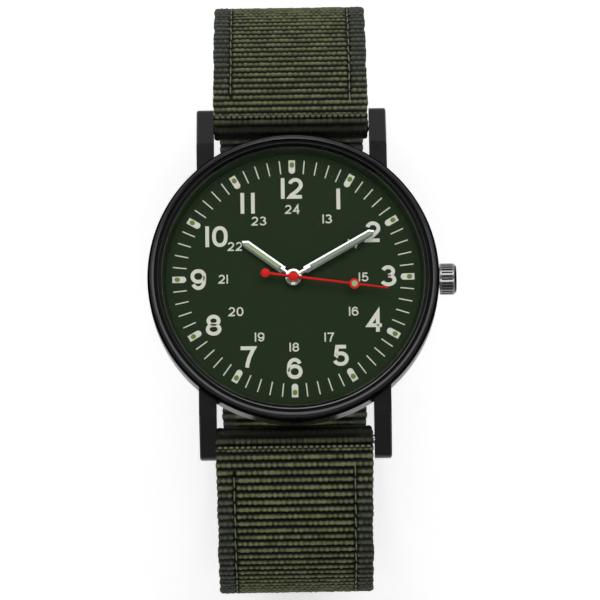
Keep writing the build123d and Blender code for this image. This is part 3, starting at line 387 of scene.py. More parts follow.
def glass_edge_highlight_finish(name):
    """Ground edge of the glass with a painted highlight, brighter towards 6 o'clock, that stands in for the
    light its chamfer gathers.
    """
    finish = Finish(name, Specular_IOR_Level=0.1)
    # Painted highlight: the edge's colour grows brighter the more its place points towards 6 o'clock, tipped
    # a little towards 3 o'clock
    highlight_direction = (0.25 / CRYSTAL_RADIUS, -0.94 / CRYSTAL_RADIUS, 0.0)
    aim = finish.node("VectorMath", {"operation": "DOT_PRODUCT"}, {0: finish.place(), 1: highlight_direction}, "Value")
    share = aim.at_least(0.0) ** 3.0 * 0.25 + 0.028
    finish.set("Base Color", finish.blend(share, BLACK, (1.0, 1.0, 0.98)))
    finish.set("Roughness", finish.noise(3.0) * 0.2 + 0.4)
    return finish.material


def woven_finish(name, settings):
    """Corded cloth with painted shade between the cords; its UV map is in millimetres along and across the
    band.
    """
    finish = Finish(name, Specular_IOR_Level=0.18)
    relief = finish.node("Attribute", {"attribute_name": "relief"}, {}, "Fac")
    plan = finish.node("UVMap", {"uv_map": "UVMap"}, {})
    along = finish.node("SeparateXYZ", {}, {0: plan}, "X")
    across = finish.node("SeparateXYZ", {}, {0: plan}, "Y")
    patch = finish.noise(0.5, 4.0)
    cords = finish.noise(2.2, 3.0)
    fibre = finish.noise(6.0, 3.0)

    # Painted shade darkens the roll by the case, and the selvedges are greyer and darker, partly a tone of
    # their own and partly painted shade, more so away from the case
    shade = finish.ease(along, 10.5, 12.8, 0.05, 1.0)
    selvedge_and_shade = finish.ease(across.absolute(), 8.7, 9.2, 0.0, 1.0)
    selvedge_and_shade *= finish.ease(along, 14.0, 24.0, 0.25, 1.0)
    # Only the crests of the cords take the rib colour; the gaps between them get a near-black painted shade
    crest = finish.ease(relief, 0.36, 1.0, 0.0, 1.0)
    grain = (patch * 0.3 + 0.85) * (cords * 1.8 + 0.1) * (fibre * 0.8 + 0.6)
    ridge = (crest * grain * shade).at_least(0.0).at_most(1.0)
    cord = finish.blend(selvedge_and_shade, settings.ridge, settings.selvedge_and_shade)
    gap = finish.blend(selvedge_and_shade, settings.groove_shade, scaled(settings.selvedge_and_shade, 0.25))
    finish.set("Base Color", finish.blend(ridge, gap, cord))
    finish.set("Roughness", patch * 0.2 + 0.4)
    twist = ((across * 5.2 + along * 4.1) * math.pi).sine().absolute()
    finish.bump(twist * 0.35 + fibre * 0.5, 0.1)
    return finish.material


def thread_finish(name, tone):
    """Twisted sewing thread."""
    finish = Finish(name, Sheen_Weight=0.2)
    return finish.cover(finish.noise(9.0, 2.0, (1.0, 3.0, 3.0)), tone, 0.6, 1.3, 0.6, 0.2, 0.03)


def paint(material, *nodes):
    """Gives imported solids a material."""
    for node in nodes:
        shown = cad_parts[node]
        shown.data.materials.clear()
        shown.data.materials.append(material)


def clear_selection():
    """Leaves object mode with nothing selected."""
    if bpy.context.object and bpy.context.object.mode != "OBJECT":
        bpy.ops.object.mode_set(mode="OBJECT")
    bpy.ops.object.select_all(action="DESELECT")


def select_alone(piece):
    """Leaves one piece selected and active."""
    clear_selection()
    piece.select_set(True)
    bpy.context.view_layer.objects.active = piece


def enter(piece):
    """Selects a piece alone and opens it in edit mode with all of it selected."""
    select_alone(piece)
    bpy.ops.object.mode_set(mode="EDIT")
    bpy.ops.mesh.select_mode(type="VERT")
    select_whole()


def pick(piece, wanted):
    """Selects the vertices of the open piece that a test on their place in millimetres wants."""
    bpy.ops.mesh.select_all(action="DESELECT")
    bpy.ops.object.mode_set(mode="OBJECT")
    for vertex in piece.data.vertices:
        vertex.select = wanted(vertex.co / MM)
    bpy.ops.object.mode_set(mode="EDIT")


def select_whole():
    """Selects all of the open piece."""
    bpy.ops.mesh.select_all(action="SELECT")


def shift(x, y, z):
    """Moves what is selected, in metres."""
    bpy.ops.transform.translate(value=(x, y, z))


def swing(angle):
    """Turns what is selected about the watch's axis."""
    bpy.ops.transform.rotate(value=angle, orient_axis="Z", center_override=(0, 0, 0))


def stretch(x, y, z, middle=(0, 0, 0)):
    """Scales what is selected about a middle."""
    bpy.ops.transform.resize(value=(x, y, z), center_override=middle)


def extrude(x, y, z):
    """Draws new faces out of the selected ones, in metres."""
    bpy.ops.mesh.extrude_region_move(TRANSFORM_OT_translate={"value": (x, y, z)})


def add_shape(primitive, **sizes):
    """Adds a primitive with nothing else selected and opens it in edit mode."""
    clear_selection()
    primitive(**sizes)
    piece = bpy.context.object
    enter(piece)
    return piece


def fill_ends():
    """Fills the open ends of the open piece."""
    bpy.ops.mesh.select_all(action="DESELECT")
    bpy.ops.mesh.select_non_manifold(extend=False)
    bpy.ops.mesh.fill_holes(sides=0)


def merge_doubles(gap):
    """Merges the points of the open piece that are nearer than a gap in millimetres."""
    select_whole()
    bpy.ops.mesh.remove_doubles(threshold=gap * MM)


def face_outwards():
    """Turns all faces of the open piece outwards and goes back to object mode."""
    select_whole()
    bpy.ops.mesh.normals_make_consistent(inside=False)
    bpy.ops.object.mode_set(mode="OBJECT")


def repeat_round(copies, step):
    """Copies all of the open piece round the watch's axis, a step in degrees apart."""
    select_whole()
    angle = math.radians(copies * step)
    bpy.ops.mesh.spin(steps=copies, dupli=True, angle=angle, center=(0, 0, 0), axis=(0, 0, 1))


def settle(piece, name, body, material, smooth=40.0):
    """Names a finished piece, puts its place in its mesh, smooths it and hangs it on its body."""
    select_alone(piece)
    if not piece.data.polygons:
        raise RuntimeError(f"{name} has no faces")
    bpy.ops.object.transform_apply(location=True, rotation=True, scale=True)
    bpy.ops.object.shade_smooth_by_angle(angle=math.radians(smooth))
    piece.name = name
    piece.data.name = name
    piece.data.materials.clear()
    piece.data.materials.append(material)
    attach(piece, body)
    return piece


def fuse(pieces):
    """Joins pieces into the first one."""
    select_alone(pieces[0])
    for piece in pieces[1:]:
        piece.select_set(True)
    bpy.ops.object.join()
    return pieces[0]


def turned(profile, segments, place=(0.0, 0.0), ring=True):
    """Turns a (radius, level) outline in millimetres, closed for a ring and with filled ends for a disc."""
    radius, level = profile[0]
    x, y = place[0] * MM, place[1] * MM
    piece = add_shape(bpy.ops.mesh.primitive_circle_add, vertices=segments, radius=radius * MM)
    shift(x, y, level * MM)
    for next_radius, next_level in profile[1:] + profile[:1] * ring:
        bpy.ops.mesh.extrude_edges_move(TRANSFORM_OT_translate={"value": (0, 0, (next_level - level) * MM)})
        share = next_radius / radius
        stretch(share, share, 1, (x, y, next_level * MM))
        radius, level = next_radius, next_level
    if not ring:
        fill_ends()
    merge_doubles(0.0005)
    face_outwards()
    return piece


def rounded_profile(corners, steps):
    """An outline whose (radius, level, rounding) corners are cut round."""
    outline = []
    for index, (x, y, rounding) in enumerate(corners):
        if not rounding:
            outline.append((x, y))
            continue
        corner = Vector((x, y))
        before = Vector(corners[index - 1][:2]) - corner
        after = Vector(corners[(index + 1) % len(corners)][:2]) - corner
        start = corner + before.normalized() * rounding
        end = corner + after.normalized() * rounding
        for step in range(steps + 1):
            share = step / steps
            point = start.lerp(corner, share).lerp(corner.lerp(end, share), share)
            outline.append(tuple(point))
    return outline


def bow(middle_x, middle_y, radius_x, radius_y, start, end, power=2.0, steps=18):
    """Points of a rounded stroke from start to end degrees."""
    points = []
    for step in range(steps + 1):
        angle = math.radians(start + (end - start) * step / steps)
        across, up = math.cos(angle), math.sin(angle)
        points.append((
            middle_x + radius_x * math.copysign(abs(across) ** (2 / power), across),
            middle_y + radius_y * math.copysign(abs(up) ** (2 / power), up),
        ))
    return points


# Centre lines of the numerals in a box one unit wide and high, as (points, closed) strokes
SIX = [(bow(0.5, 0.315, 0.5, 0.315, 0, 360, 2.1)[:-1], True),
       (bow(0.5, 0.62, 0.47, 0.38, 25, 180, 2.0) + [(0.0, 0.45), (0.0, 0.32)], False)]
NUMERALS = {
    "0": [(bow(0.5, 0.5, 0.5, 0.5, 0, 360, 2.3, 30)[:-1], True)],
    "1": [([(0.0, 0.0), (0.0, 1.0)], False)],
    "2": [(bow(0.5, 0.7, 0.47, 0.3, 165, -28, 2.0)
           + [(0.72, 0.4), (0.4, 0.22), (0.14, 0.1), (0.03, 0.0), (1.05, 0.0)], False)],
    "3": [(bow(0.47, 0.76, 0.43, 0.24, 160, -90, 2.0), False),
          (bow(0.47, 0.26, 0.53, 0.26, 90, -160, 2.0), False)],
    "4": [([(0.76, -0.12), (0.76, 1.0), (0.0, 0.26), (1.1, 0.26)], False)],
    "5": [([(0.95, 1.0), (0.2, 1.0), (0.1, 0.52), (0.14, 0.5)]
           + bow(0.48, 0.31, 0.52, 0.31, 125, -160, 2.1), False)],
    "6": SIX,
    "7": [([(-0.12, 1.0), (1.0, 1.0), (0.84, 0.8), (0.6, 0.45), (0.45, 0.1), (0.4, -0.12)], False)],
    "8": [(bow(0.5, 0.755, 0.43, 0.245, 0, 360)[:-1], True),
          (bow(0.5, 0.265, 0.5, 0.265, 0, 360)[:-1], True)],
    "9": [([(1 - x, 1 - y) for x, y in points], closed) for points, closed in SIX],
}


def painted_strokes(strokes, stroke_width, rise):
    """Lays domed lines of paint on the dial along (points, closed) strokes given in metres."""
    made = []
    for points, closed in strokes:
        line = bpy.data.curves.new("stroke", "CURVE")
        line.dimensions = "2D"
        line.fill_mode = "NONE"
        line.bevel_depth = stroke_width / 2
        line.bevel_resolution = 1
        line.use_fill_caps = not closed
        path = line.splines.new("POLY")
        path.points.add(len(points) - 1)
        for place, (x, y) in zip(path.points, points):
            place.co = (x, y, 0.0, 1.0)
        path.use_cyclic_u = closed
        stroke = bpy.data.objects.new("stroke", line)
        bpy.context.scene.collection.objects.link(stroke)
        select_alone(stroke)
        bpy.ops.object.convert(target="MESH")
        made.append(bpy.context.object)
    printed = fuse(made)
    enter(printed)
    stretch(1, 1, 2 * rise / stroke_width)
    shift(0, 0, DIAL_TOP * MM)
    face_outwards()
    return printed


def numeral_strokes(text, middle, height, width, stroke, gap):
    """Strokes of a whole number centred on a place, in metres; a 1 is one bar with flat ends."""
    widths = [stroke if sign == "1" else width for sign in text]
    left = middle[0] - (sum(widths) + gap * (len(text) - 1)) / 2
    strokes = []
    for sign, wide in zip(text, widths):
        margin = 0.0 if sign == "1" else stroke / 2
        bottom = middle[1] - height / 2 + margin
        for points, closed in NUMERALS[sign]:
            placed = [(left + stroke / 2 + x * (wide - stroke), bottom + y * (height - 2 * margin))
                      for x, y in points]
            strokes.append((placed, closed))
        left += wide + gap
    return strokes


# Middles of the numerals in millimetres from the dial's axis
HOUR_PLACES = {
    "12": (-0.02, 12.95), "1": (6.49, 11.33), "2": (11.29, 6.51), "3": (13.37, 0.14),
    "4": (11.31, -6.32), "5": (6.48, -11.14), "6": (0.0, -12.91), "7": (-6.5, -11.16),
    "8": (-11.29, -6.57), "9": (-13.37, 0.0), "10": (-10.75, 6.14), "11": (-6.31, 10.89),
}
AFTERNOON_PLACES = {
    "24": (-0.02, 9.92), "13": (4.89, 8.46), "14": (8.43, 4.86), "15": (9.86, 0.02),
    "16": (8.39, -4.87), "17": (4.91, -8.51), "18": (-0.01, -9.87), "19": (-4.86, -8.36),
    "20": (-8.14, -4.68), "21": (-9.88, 0.0), "22": (-8.17, 4.68), "23": (-4.75, 8.3),
}


class WATCH_OT_dial(bpy.types.Operator):
    """Prints the dial: numerals, minute ticks, hour markers and their luminous dots."""

    bl_idname = "watch.dial"
    bl_label = "Dial"

    def execute(self, context):
        dial = context.scene.watch_dial
        paint(enamel_finish("dial_enamel", dial.ground, 0.1, 0.62, 5.0, Specular_IOR_Level=0.12), "dial")
        white = enamel_finish("dial_print", dial.print, 0.06, 0.6, 8.0)
        for name, places, gap, height, width, stroke in (
            ("hour_numerals", HOUR_PLACES, HOUR_GAP,
             dial.numeral_height, dial.numeral_width, dial.numeral_stroke),
            ("afternoon_numerals", AFTERNOON_PLACES, AFTERNOON_GAP,
             dial.small_height, dial.small_width, dial.small_stroke),
        ):
            strokes = []
            for text, (x, y) in places.items():
                step = ELEVEN_GAP if text == "11" else gap
                strokes += numeral_strokes(text, (x * MM, y * MM), height, width, stroke, step * MM)
            settle(painted_strokes(strokes, stroke, dial.paint_rise), name, "watch", white)

        # Minute ticks: one is shaped, spun into the four between two markers and then round the dial
        ticks = add_shape(bpy.ops.mesh.primitive_cube_add, size=1)
        stretch(dial.tick_width, dial.tick_length, 2 * dial.paint_rise)
        shift(0, dial.track_radius, DIAL_TOP * MM)
        pick(ticks, lambda place: place.z > DIAL_TOP)
        stretch(0.7, 0.97, 1, (0, dial.track_radius, 0))
        select_whole()
        swing(math.radians(MINUTE))
        repeat_round(3, MINUTE)
        repeat_round(11, HOUR)
        settle(ticks, "minute_ticks", "watch", white, 20.0)

        # Hour markers: a disc whose outer half is squared, spun round the dial
        half = dial.marker_width / 2
        raised = 1.2 * dial.paint_rise
        markers = add_shape(bpy.ops.mesh.primitive_circle_add, vertices=32, radius=half, fill_type="NGON")
        pick(markers, lambda place: place.y > -0.001)
        stretch(1, 0, 1)
        shift(0, dial.marker_length - half, 0)
        select_whole()
        shift(0, dial.track_radius - dial.marker_length / 2 + half, DIAL_TOP * MM)
        extrude(0, 0, raised)
        stretch(0.94, 0.97, 1, (0, dial.track_radius, 0))
        select_whole()
        bpy.ops.mesh.normals_make_consistent(inside=False)
        repeat_round(11, HOUR)
        settle(markers, "hour_markers", "watch", white, 20.0)

        # Luminous dots: domes near the outer ends of the markers
        dots = add_shape(bpy.ops.mesh.primitive_uv_sphere_add, segments=20, ring_count=10,
                         radius=dial.dot_width / 2)
        stretch(1, 1.15, 0.16)
        shift(0, dial.track_radius + 0.28 * MM, DIAL_TOP * MM + raised)
        repeat_round(11, HOUR)
        settle(dots, "marker_dots", "watch", lume_finish("dot_lume", dial.dot), 80.0)
        return {"FINISHED"}


def on_hand(angle, side, along, level):
    """A place in millimetres on a hand that points to a clock angle."""
    cosine, sine = math.cos(math.radians(angle)), math.sin(math.radians(angle))
    return (side * cosine + along * sine, along * cosine - side * sine, level)


def open_face(places):
    """One face through places in millimetres, open in edit mode."""
    clear_selection()
    bpy.ops.mesh.primitive_circle_add(vertices=len(places), radius=MM, fill_type="NGON")
    piece = bpy.context.object
    for vertex, place in zip(piece.data.vertices, places):
        vertex.co = [part * MM for part in place]
    piece.data.update()
    enter(piece)
    bpy.ops.mesh.select_mode(type="FACE")
    select_whole()
    return piece


def bevelled(outline, angle, level, flank, wall, rise, window=0.0):
    """A bar with low walls and sloping flanks; a window sinks the middle of its top by that much."""
    piece = open_face([on_hand(angle, side, along, level) for side, along in outline])
    if piece.data.polygons[0].normal.z < 0:
        bpy.ops.mesh.flip_normals()
    extrude(0, 0, wall * MM)
    bpy.ops.mesh.inset(thickness=flank * MM, depth=rise * MM)
    if window:
        bpy.ops.mesh.inset(thickness=0.03 * MM, depth=0)
        bpy.ops.mesh.inset(thickness=0.015 * MM, depth=-window * MM)
    face_outwards()
    return piece


def bar(section, angle, begin, end):
    """A straight bar along a hand; its section is a list of (side place, level) in millimetres."""
    piece = open_face([on_hand(angle, side, begin, level) for side, level in section])
    extrude(*(part * MM for part in on_hand(angle, 0, end - begin, 0)))
    face_outwards()
    return piece


def hub(outer, level, height):
    """A ring that rises gently towards its bore, round the hands' axis."""
    return turned([(HUB_BORE, level), (outer, level), (outer, level + 0.03), (outer - 0.02, level + 0.04),
                   (HUB_BORE + 0.06, level + height), (HUB_BORE, level + height - 0.04)], 96)


def pointed(half_width, begin, shoulder, tip):
    """Outline of a bar with a pointed end, or section of a bar with a ridge."""
    return ((-half_width, begin), (half_width, begin), (half_width, shoulder), (0.0, tip),
            (-half_width, shoulder))


def window_hand(angle, level, half_width, neck, step, begin, shoulder, tip):
    """A polished hand: hub ring, neck, block and a bevelled frame round its filling."""
    return fuse([
        bevelled(pointed(half_width, begin, shoulder, tip), angle, level, 0.45 * half_width, 0.06,
                 0.12 * half_width, 0.09),
        bar(pointed(half_width, level, level + 0.035, level + 0.17), angle, step, begin + 0.2 * half_width),
        bar(pointed(neck, level, level + 0.03, level + 0.12), angle, 0.9, step + 0.05),
        hub(1.15, level, 0.14),
    ])


class WATCH_OT_hands(bpy.types.Operator):
    """Makes the bevelled hands, their luminous fillings and the red second hand."""

    bl_idname = "watch.hands"
    bl_label = "Hands"

    def execute(self, context):
        hands = context.scene.watch_hands
        polish = polished_finish("hand_polish", hands.polish)
        lume = lume_finish("hand_lume", hands.lume)
        red = enamel_finish("second_red", hands.seconds, 0.08, 0.35, 6.0, Specular_IOR_Level=0.25)
        grey_lume = lume_finish("minute_lume", hands.minute_lume)
        paint(lume, "second_hand_lume")
        for name, body, filling, sizes in (
            ("hour_hand", "hours", lume, (306.5, 5.35, 0.56, 0.26, 1.75, 2.12, 8.2, 8.9)),
            ("minute_hand", "minutes", grey_lume, (60.7, 5.75, 0.52, 0.28, 1.9, 2.72, 12.55, 13.2)),
        ):
            hand = settle(window_hand(*sizes), name + "_frame", body, polish, 12.0)
            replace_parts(hand, name)
            angle, level, half_width, _, _, begin, shoulder, tip = sizes
            paste = bevelled(pointed(0.42 * half_width, begin + 0.36, shoulder - 0.06, tip - 0.42), angle,
                             level + 0.03, 0.04, 0.03, 0.03)
            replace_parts(settle(paste, name + "_paste", body, filling, 30.0), name + "_lume")
        gold = polished_finish("collar_gold", (0.72, 0.58, 0.4))
        settle(hub(0.84, 5.88, 0.1), "minute_hand_collar", "minutes", gold, 12.0)

        # The second hand's bar stops on both sides of its luminous dot
        angle, level = 97.9, 6.15
        parts = [
            bevelled(((-near, begin), (near, begin), (far, end), (-far, end)), angle, level, 0.07, 0.04, 0.11)
            for near, begin, far, end in ((0.2, -3.8, 0.17, 8.1), (0.17, 9.2, 0.14, 13.4))
        ]
        for profile, segments, along, ring in (
            (((0.43, 0), (0.75, 0), (0.75, 0.08), (0.64, 0.16), (0.5, 0.18), (0.43, 0.13)), 48, 8.65, True),
            (((0.65, 0), (0.65, 0.07), (0.56, 0.15), (0.3, 0.2), (0.05, 0.21)), 48, -3.97, False),
            (((0.69, 0), (0.69, 0.1), (0.6, 0.2), (0.36, 0.26), (0.24, 0.27), (0.2, 0.24), (0.17, 0.24),
              (0.17, 0.3), (0.1, 0.33), (0.02, 0.335)), 64, 0.0, False),
        ):
            outline = [(radius, level + rise) for radius, rise in profile]
            parts.append(turned(outline, segments, on_hand(angle, 0.0, along, level), ring))
        second = settle(fuse(parts), "second_hand_body", "seconds", red, 35.0)
        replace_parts(second, "second_hand")
        return {"FINISHED"}


class WATCH_OT_case(bpy.types.Operator):
    """Finishes the case, bezel, crystal, crown and the other hard outer pieces."""

    bl_idname = "watch.case"
    bl_label = "Case"

    def execute(self, context):
        case = context.scene.watch_case
        coat = gloss_coat_finish("case_coat", case.coating)
        paint(coat, "case_middle", "bezel", "buckle_frame", "buckle_tang")
        ring_coat = mirror_coat_finish("bezel_coat", case.bezel, 0.28)
        low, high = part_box("crown")
        rim = (high.z - low.z) / 2 / MM
        # The crown's flutes get painted shade in their valleys
        paint(fluted_painted_shade_finish("crown_coat", case.crown, (low + high) / 2 / MM, rim - 0.17, rim - 0.03), "crown")
        rubber = moulded_finish("seal_rubber", (0.004, 0.004, 0.004), 0.6, Specular_IOR_Level=0.08)
        paint(rubber, "case_back_gasket", "crown_gasket")
        enamel = enamel_finish("ring_enamel", scaled(context.scene.watch_dial.ground, 0.95), 0.1, 0.45, 6.0)
        for name, node, slot, material, profile in (
            ("bezel_ring", "bezel", "coated_case_steel", ring_coat, rounded_profile(
                [(19.55, 7.34, 0.03), (19.55, 6.5, 0), (20.0, 6.5, 0), (20.0, 5.4, 0), (20.5, 5.4, 0.04),
                 (20.5, 6.35, 0.5), (20.15, 7.3, 0.2), (19.97, 7.45, 0.12)], 6)),
            ("crystal_disc", "crystal", "crystal_glass", crystal_finish("crystal_glass"),
             [(0.01, 6.5), (19.08, 6.5), (19.1, 6.55), (19.1, 7.27), (19.07, 7.32), (18.56, 7.67),
              (18.48, 7.7), (0.01, 7.7)]),
            ("crystal_seal", "crystal_gasket", "seal_rubber", rubber,
             rounded_profile([(19.11, 6.5, 0), (19.54, 6.5, 0), (19.54, 7.0, 0.05), (19.11, 7.0, 0.05)], 4)),
            ("dial_ring", "rehaut_ring", "ring_enamel", enamel,
             rounded_profile([(17.95, 4.8, 0), (18.55, 4.8, 0), (18.55, 6.5, 0), (18.4, 6.5, 0.05)], 4)),
            # The crystal's ground edge, which carries a painted highlight towards 6 o'clock
            ("crystal_edge", None, "crystal_glass", glass_edge_highlight_finish("crystal_edge"),
             [(18.94, 7.15), (19.08, 7.15), (19.08, 7.22), (18.94, 7.27)]),
        ):
            ring = profile[0][0] > 1
            piece = settle(turned(profile, 240, ring=ring), name, "watch", material, 24.0)
            if node:
                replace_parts(piece, node)
        paint(circular_brush_finish("case_back_steel", case.steel), "case_back")
        paint(
            brushed_finish("bar_steel", case.steel), "crown_tube", "winding_stem", "spring_bar_tube_12",
            "spring_bar_tube_6", "spring_bar_tip_12_crown_side", "spring_bar_tip_12_far_side",
            "spring_bar_tip_6_crown_side", "spring_bar_tip_6_far_side", "buckle_hinge_pin",
        )
        return {"FINISHED"}


class WATCH_OT_movement(bpy.types.Operator):
    """Finishes the pieces inside the case."""

    bl_idname = "watch.movement"
    bl_label = "Movement"

    def execute(self, context):
        for finish, name, values, nodes in (
            (brushed_finish, "plate_nickel", ((0.62, 0.58, 0.5), (4.0, 0.3, 4.0), 0.35),
             "main_plate train_bridge"),
            (circular_brush_finish, "wheel_brass", ((0.76, 0.56, 0.26),),
             "fourth_wheel third_wheel centre_wheel fifth_wheel minute_wheel hour_wheel"),
            (brushed_finish, "work_steel", ((0.55, 0.55, 0.56), (3.0, 3.0, 3.0), 0.25),
             "train_bridge_screws battery_clamp stator sliding_pinion setting_lever"),
            (circular_brush_finish, "battery_steel", ((0.68, 0.68, 0.67),), "battery"),
            (moulded_finish, "holder_plastic", ((0.7, 0.69, 0.64),), "movement_holder"),
            (moulded_finish, "board_laminate", ((0.03, 0.16, 0.05), 0.4), "circuit_board"),
            (moulded_finish, "chip_resin", ((0.015, 0.015, 0.016), 0.5), "control_chip"),
            (brushed_finish, "can_plate", ((0.8, 0.8, 0.8), (5.0, 0.3, 5.0), 0.15), "quartz_can"),
            (brushed_finish, "coil_copper", ((0.7, 0.32, 0.13), (14.0, 0.2, 0.2), 0.35), "motor_coil"),
            (brushed_finish, "rotor_magnet", ((0.26, 0.26, 0.27), (2.0, 2.0, 2.0), 0.45), "rotor"),
        ):
            paint(finish(name, *values), *nodes.split())
        return {"FINISHED"}


class Route:
    """A line of straight and round stretches in an upright plane that runs onward, in millimetres."""

    def __init__(self, begin, heading, outer, aside, onward=Vector((0, 1, 0))):
        self.outer = outer
        self.onward = onward
        self.side = Vector((onward.y, onward.x, 0))
        self.aside = self.side * aside
        self.stretches = []
        self.length = 0.0
        self.end = begin
        self.end_heading = heading

    def run(self, length):
        """Goes straight on."""
        self._add(length, 0.0)

    def turn(self, radius, degrees):
        """Turns left by degrees, or right if they are negative."""
        angle = math.radians(degrees)
        self._add(abs(angle) * radius, math.copysign(1 / radius, angle))

    def _add(self, length, curvature):
        self.stretches.append((self.length, curvature, self.end, self.end_heading))
        self.end, self.end_heading = self._follow(self.stretches[-1], length)
        self.length += length

    @staticmethod
    def _follow(stretch, distance):
        _, curvature, (y, z), heading = stretch
        if not curvature:
            return (y + distance * math.cos(heading), z + distance * math.sin(heading)), heading
        new_heading = heading + distance * curvature
        return (
            y + (math.sin(new_heading) - math.sin(heading)) / curvature,
            z - (math.cos(new_heading) - math.cos(heading)) / curvature,
        ), new_heading

    def at(self, distance):
        """Place, outward direction and side direction at a distance along the route."""
        found = [stretch for stretch in self.stretches if stretch[0] <= distance][-1]
        (along, level), heading = self._follow(found, distance - found[0])
        up = Vector((0, 0, 1))
        outward = (up * math.cos(heading) - self.onward * math.sin(heading)) * self.outer
        return self.aside + self.onward * along + up * level, outward, self.side


def lug_route(side, run_radius, shoulder_radius, aside):
    """The sewn tab, the roll round the spring bar and the arcs down to the flat back."""
    lean = math.radians(TAB_LEAN)
    outwards = Vector((side * math.cos(lean), -math.sin(lean)))
    upwards = Vector((side * math.sin(lean), math.cos(lean)))
    tab_end = Vector((side * BAR_REACH, BAR_LEVEL)) - upwards * ROLL_RADIUS
    heading = math.radians(90 + side * (90 - TAB_LEAN))
    route = Route(tuple(tab_end + outwards * TAB_LENGTH), heading, side, aside)
    route.run(TAB_LENGTH)
    route.turn(ROLL_RADIUS, -side * ROLL_TURN)
    steps = [math.cos(math.radians(angle)) for angle in (24, 46, 100, 140, 180)]
    fall = BAR_LEVEL + ROLL_RADIUS * steps[0] - BACK_LEVEL
    fall -= run_radius * (steps[0] - steps[1]) + shoulder_radius * (steps[1] - steps[2])
    fall -= BACK_RADIUS * (steps[3] - steps[4])
    side_radius = fall / (steps[2] - steps[3])
    for radius, degrees in ((run_radius, 22), (shoulder_radius, 54), (side_radius, 40), (BACK_RADIUS, 40)):
        route.turn(radius, -side * degrees)
    return route


def bead_height(along, across, pitch, bead):
    """Height from 0 to 1 of staggered beads of cord at a place on a band, in millimetres."""
    height = 0.0
    for row in (math.floor(along / pitch), math.floor(along / pitch) + 1):
        steps = across / bead + 0.5 * (row % 2)
        lengthwise = (along / pitch - row) / BEAD_LENGTH
        sideways = (steps - round(steps)) / BEAD_WIDTH
        height = max(height, 1 - lengthwise ** 2 - sideways ** 2)
    return height ** 0.8


def band_section(width, thickness, bead):
    """Points round a band as (side place, level, edge), where edge is 0 on the two flat sides."""
    coarse, columns = round(width / bead), round(3 * width / bead)
    flat = width / 2 - thickness / 2 * 0.7
    section = [(flat - 2 * flat * column / columns, 1.0, 0.0) for column in range(columns + 1)]
    section += [(-flat, math.sin(angle), -math.cos(angle)) for angle in map(math.radians, (50, 18, -18, -50))]
    section += [(2 * flat * column / coarse - flat, -1.0, 0.0) for column in range(coarse + 1)]
    section += [(flat, math.sin(angle), math.cos(angle)) for angle in map(math.radians, (-50, -18, 18, 50))]
    return section


def woven_band(route, width, thickness, strap, seed, seam=None, sewn=None, tail_corner=0.0, closed=False):
    """A band of staggered cords along a route; its UV map and its relief attribute serve the cloth's finish.

    seam is the place of the seam across the band, and sewn is where the sewn lines at its edges begin and
    end; their thread pulls the cloth in.
    """
    pitch, bead, relief = strap.rib_pitch / MM, strap.bead_pitch / MM, strap.relief / MM
    if closed:
        pitch = route.length / (2 * round(route.length / pitch / 2))
    rows = round(route.length * 6 / pitch)
    chance = random.Random(seed)
    half, rim = width / 2, thickness / 2
    section = band_section(width, thickness, bead)
    size = len(section)
    waves = [chance.uniform(-1, 1) for _ in range(rows // 8 + 3)]
    beads = round(width / bead) + 4
    uneven = [[chance.uniform(0.82, 1.06) for _ in range(beads)] for _ in range(rows // 6 + 4)]

    clear_selection()
    bpy.ops.mesh.primitive_grid_add(x_subdivisions=rows, y_subdivisions=size, size=1, calc_uvs=True)
    band = bpy.context.object
    mesh = band.data
    heights = mesh.attributes.new("relief", "FLOAT", "POINT")
    frames = [route.at(route.length * row / rows) for row in range(rows + 1)]
    spots = {}
    for vertex in mesh.vertices:
        row = round((vertex.co.x + 0.5) * rows)
        step = round((vertex.co.y + 0.5) * size)
        along = route.length * row / rows
        wide, level, edge = section[step % size]
        high = bead_height(along, wide, pitch, bead)
        high *= uneven[round(along / pitch)][round((wide + half) / bead)]
        if seam:
            high -= 0.45 * math.exp(-((along - seam) / 0.35) ** 2)
        if sewn and sewn[0] < along < sewn[1]:
            high -= 0.5 * math.exp(-((abs(wide) - SEWN_PLACE) / 0.3) ** 2)
        high = max(-0.3, high)
        waver = waves[row // 8] * (1 - row % 8 / 8) + waves[row // 8 + 1] * (row % 8 / 8)
        reach = 1.0
        rest = route.length - along
        if rest < tail_corner:
            reach = (half - tail_corner + math.sqrt(tail_corner ** 2 - (tail_corner - rest) ** 2)) / half
        place, outward, side = frames[row]
        sink = relief * (1 - high) * (0.6 if edge else 1)
        rise = level * rim - math.copysign(sink, level) * (abs(level) > 0.5)
        aside = (wide + edge * (rim * 0.7 + 0.12 * waver - 0.5 * sink)) * reach
        heights.data[vertex.index].value = max(0.0, min(1.0, high))
        spots[vertex.index] = (along, wide)
        vertex.co = (place + outward * rise + side * aside) * MM
    layer = mesh.uv_layers[0]
    layer.name = "UVMap"
    for loop in mesh.loops:
        layer.data[loop.index].uv = spots[loop.vertex_index]
    enter(band)
    merge_doubles(0.002)
    if not closed:
        fill_ends()
    face_outwards()
    return band


def sewn_line(route, spots, across, thread, length, rise):
    """Stitches on the outside of a band: each one a bead of thread along the route, in millimetres."""
    stitches = []
    chance = random.Random(7)
    for distance in spots:
        stitch = add_shape(bpy.ops.mesh.primitive_uv_sphere_add, segments=8, ring_count=6,
                           radius=thread * MM / 2)
        stretch(1, length / thread, 0.8)
        swing(chance.uniform(-0.08, 0.08))
        bpy.ops.object.mode_set(mode="OBJECT")
        place, outward, side = route.at(distance)
        middle = (place + outward * rise + side * (across + chance.uniform(-0.04, 0.04))) * MM
        turn = Matrix((side, outward.cross(side), outward)).transposed().to_4x4()
        stitch.matrix_world = Matrix.Translation(middle) @ turn
        stitches.append(stitch)
    return stitches


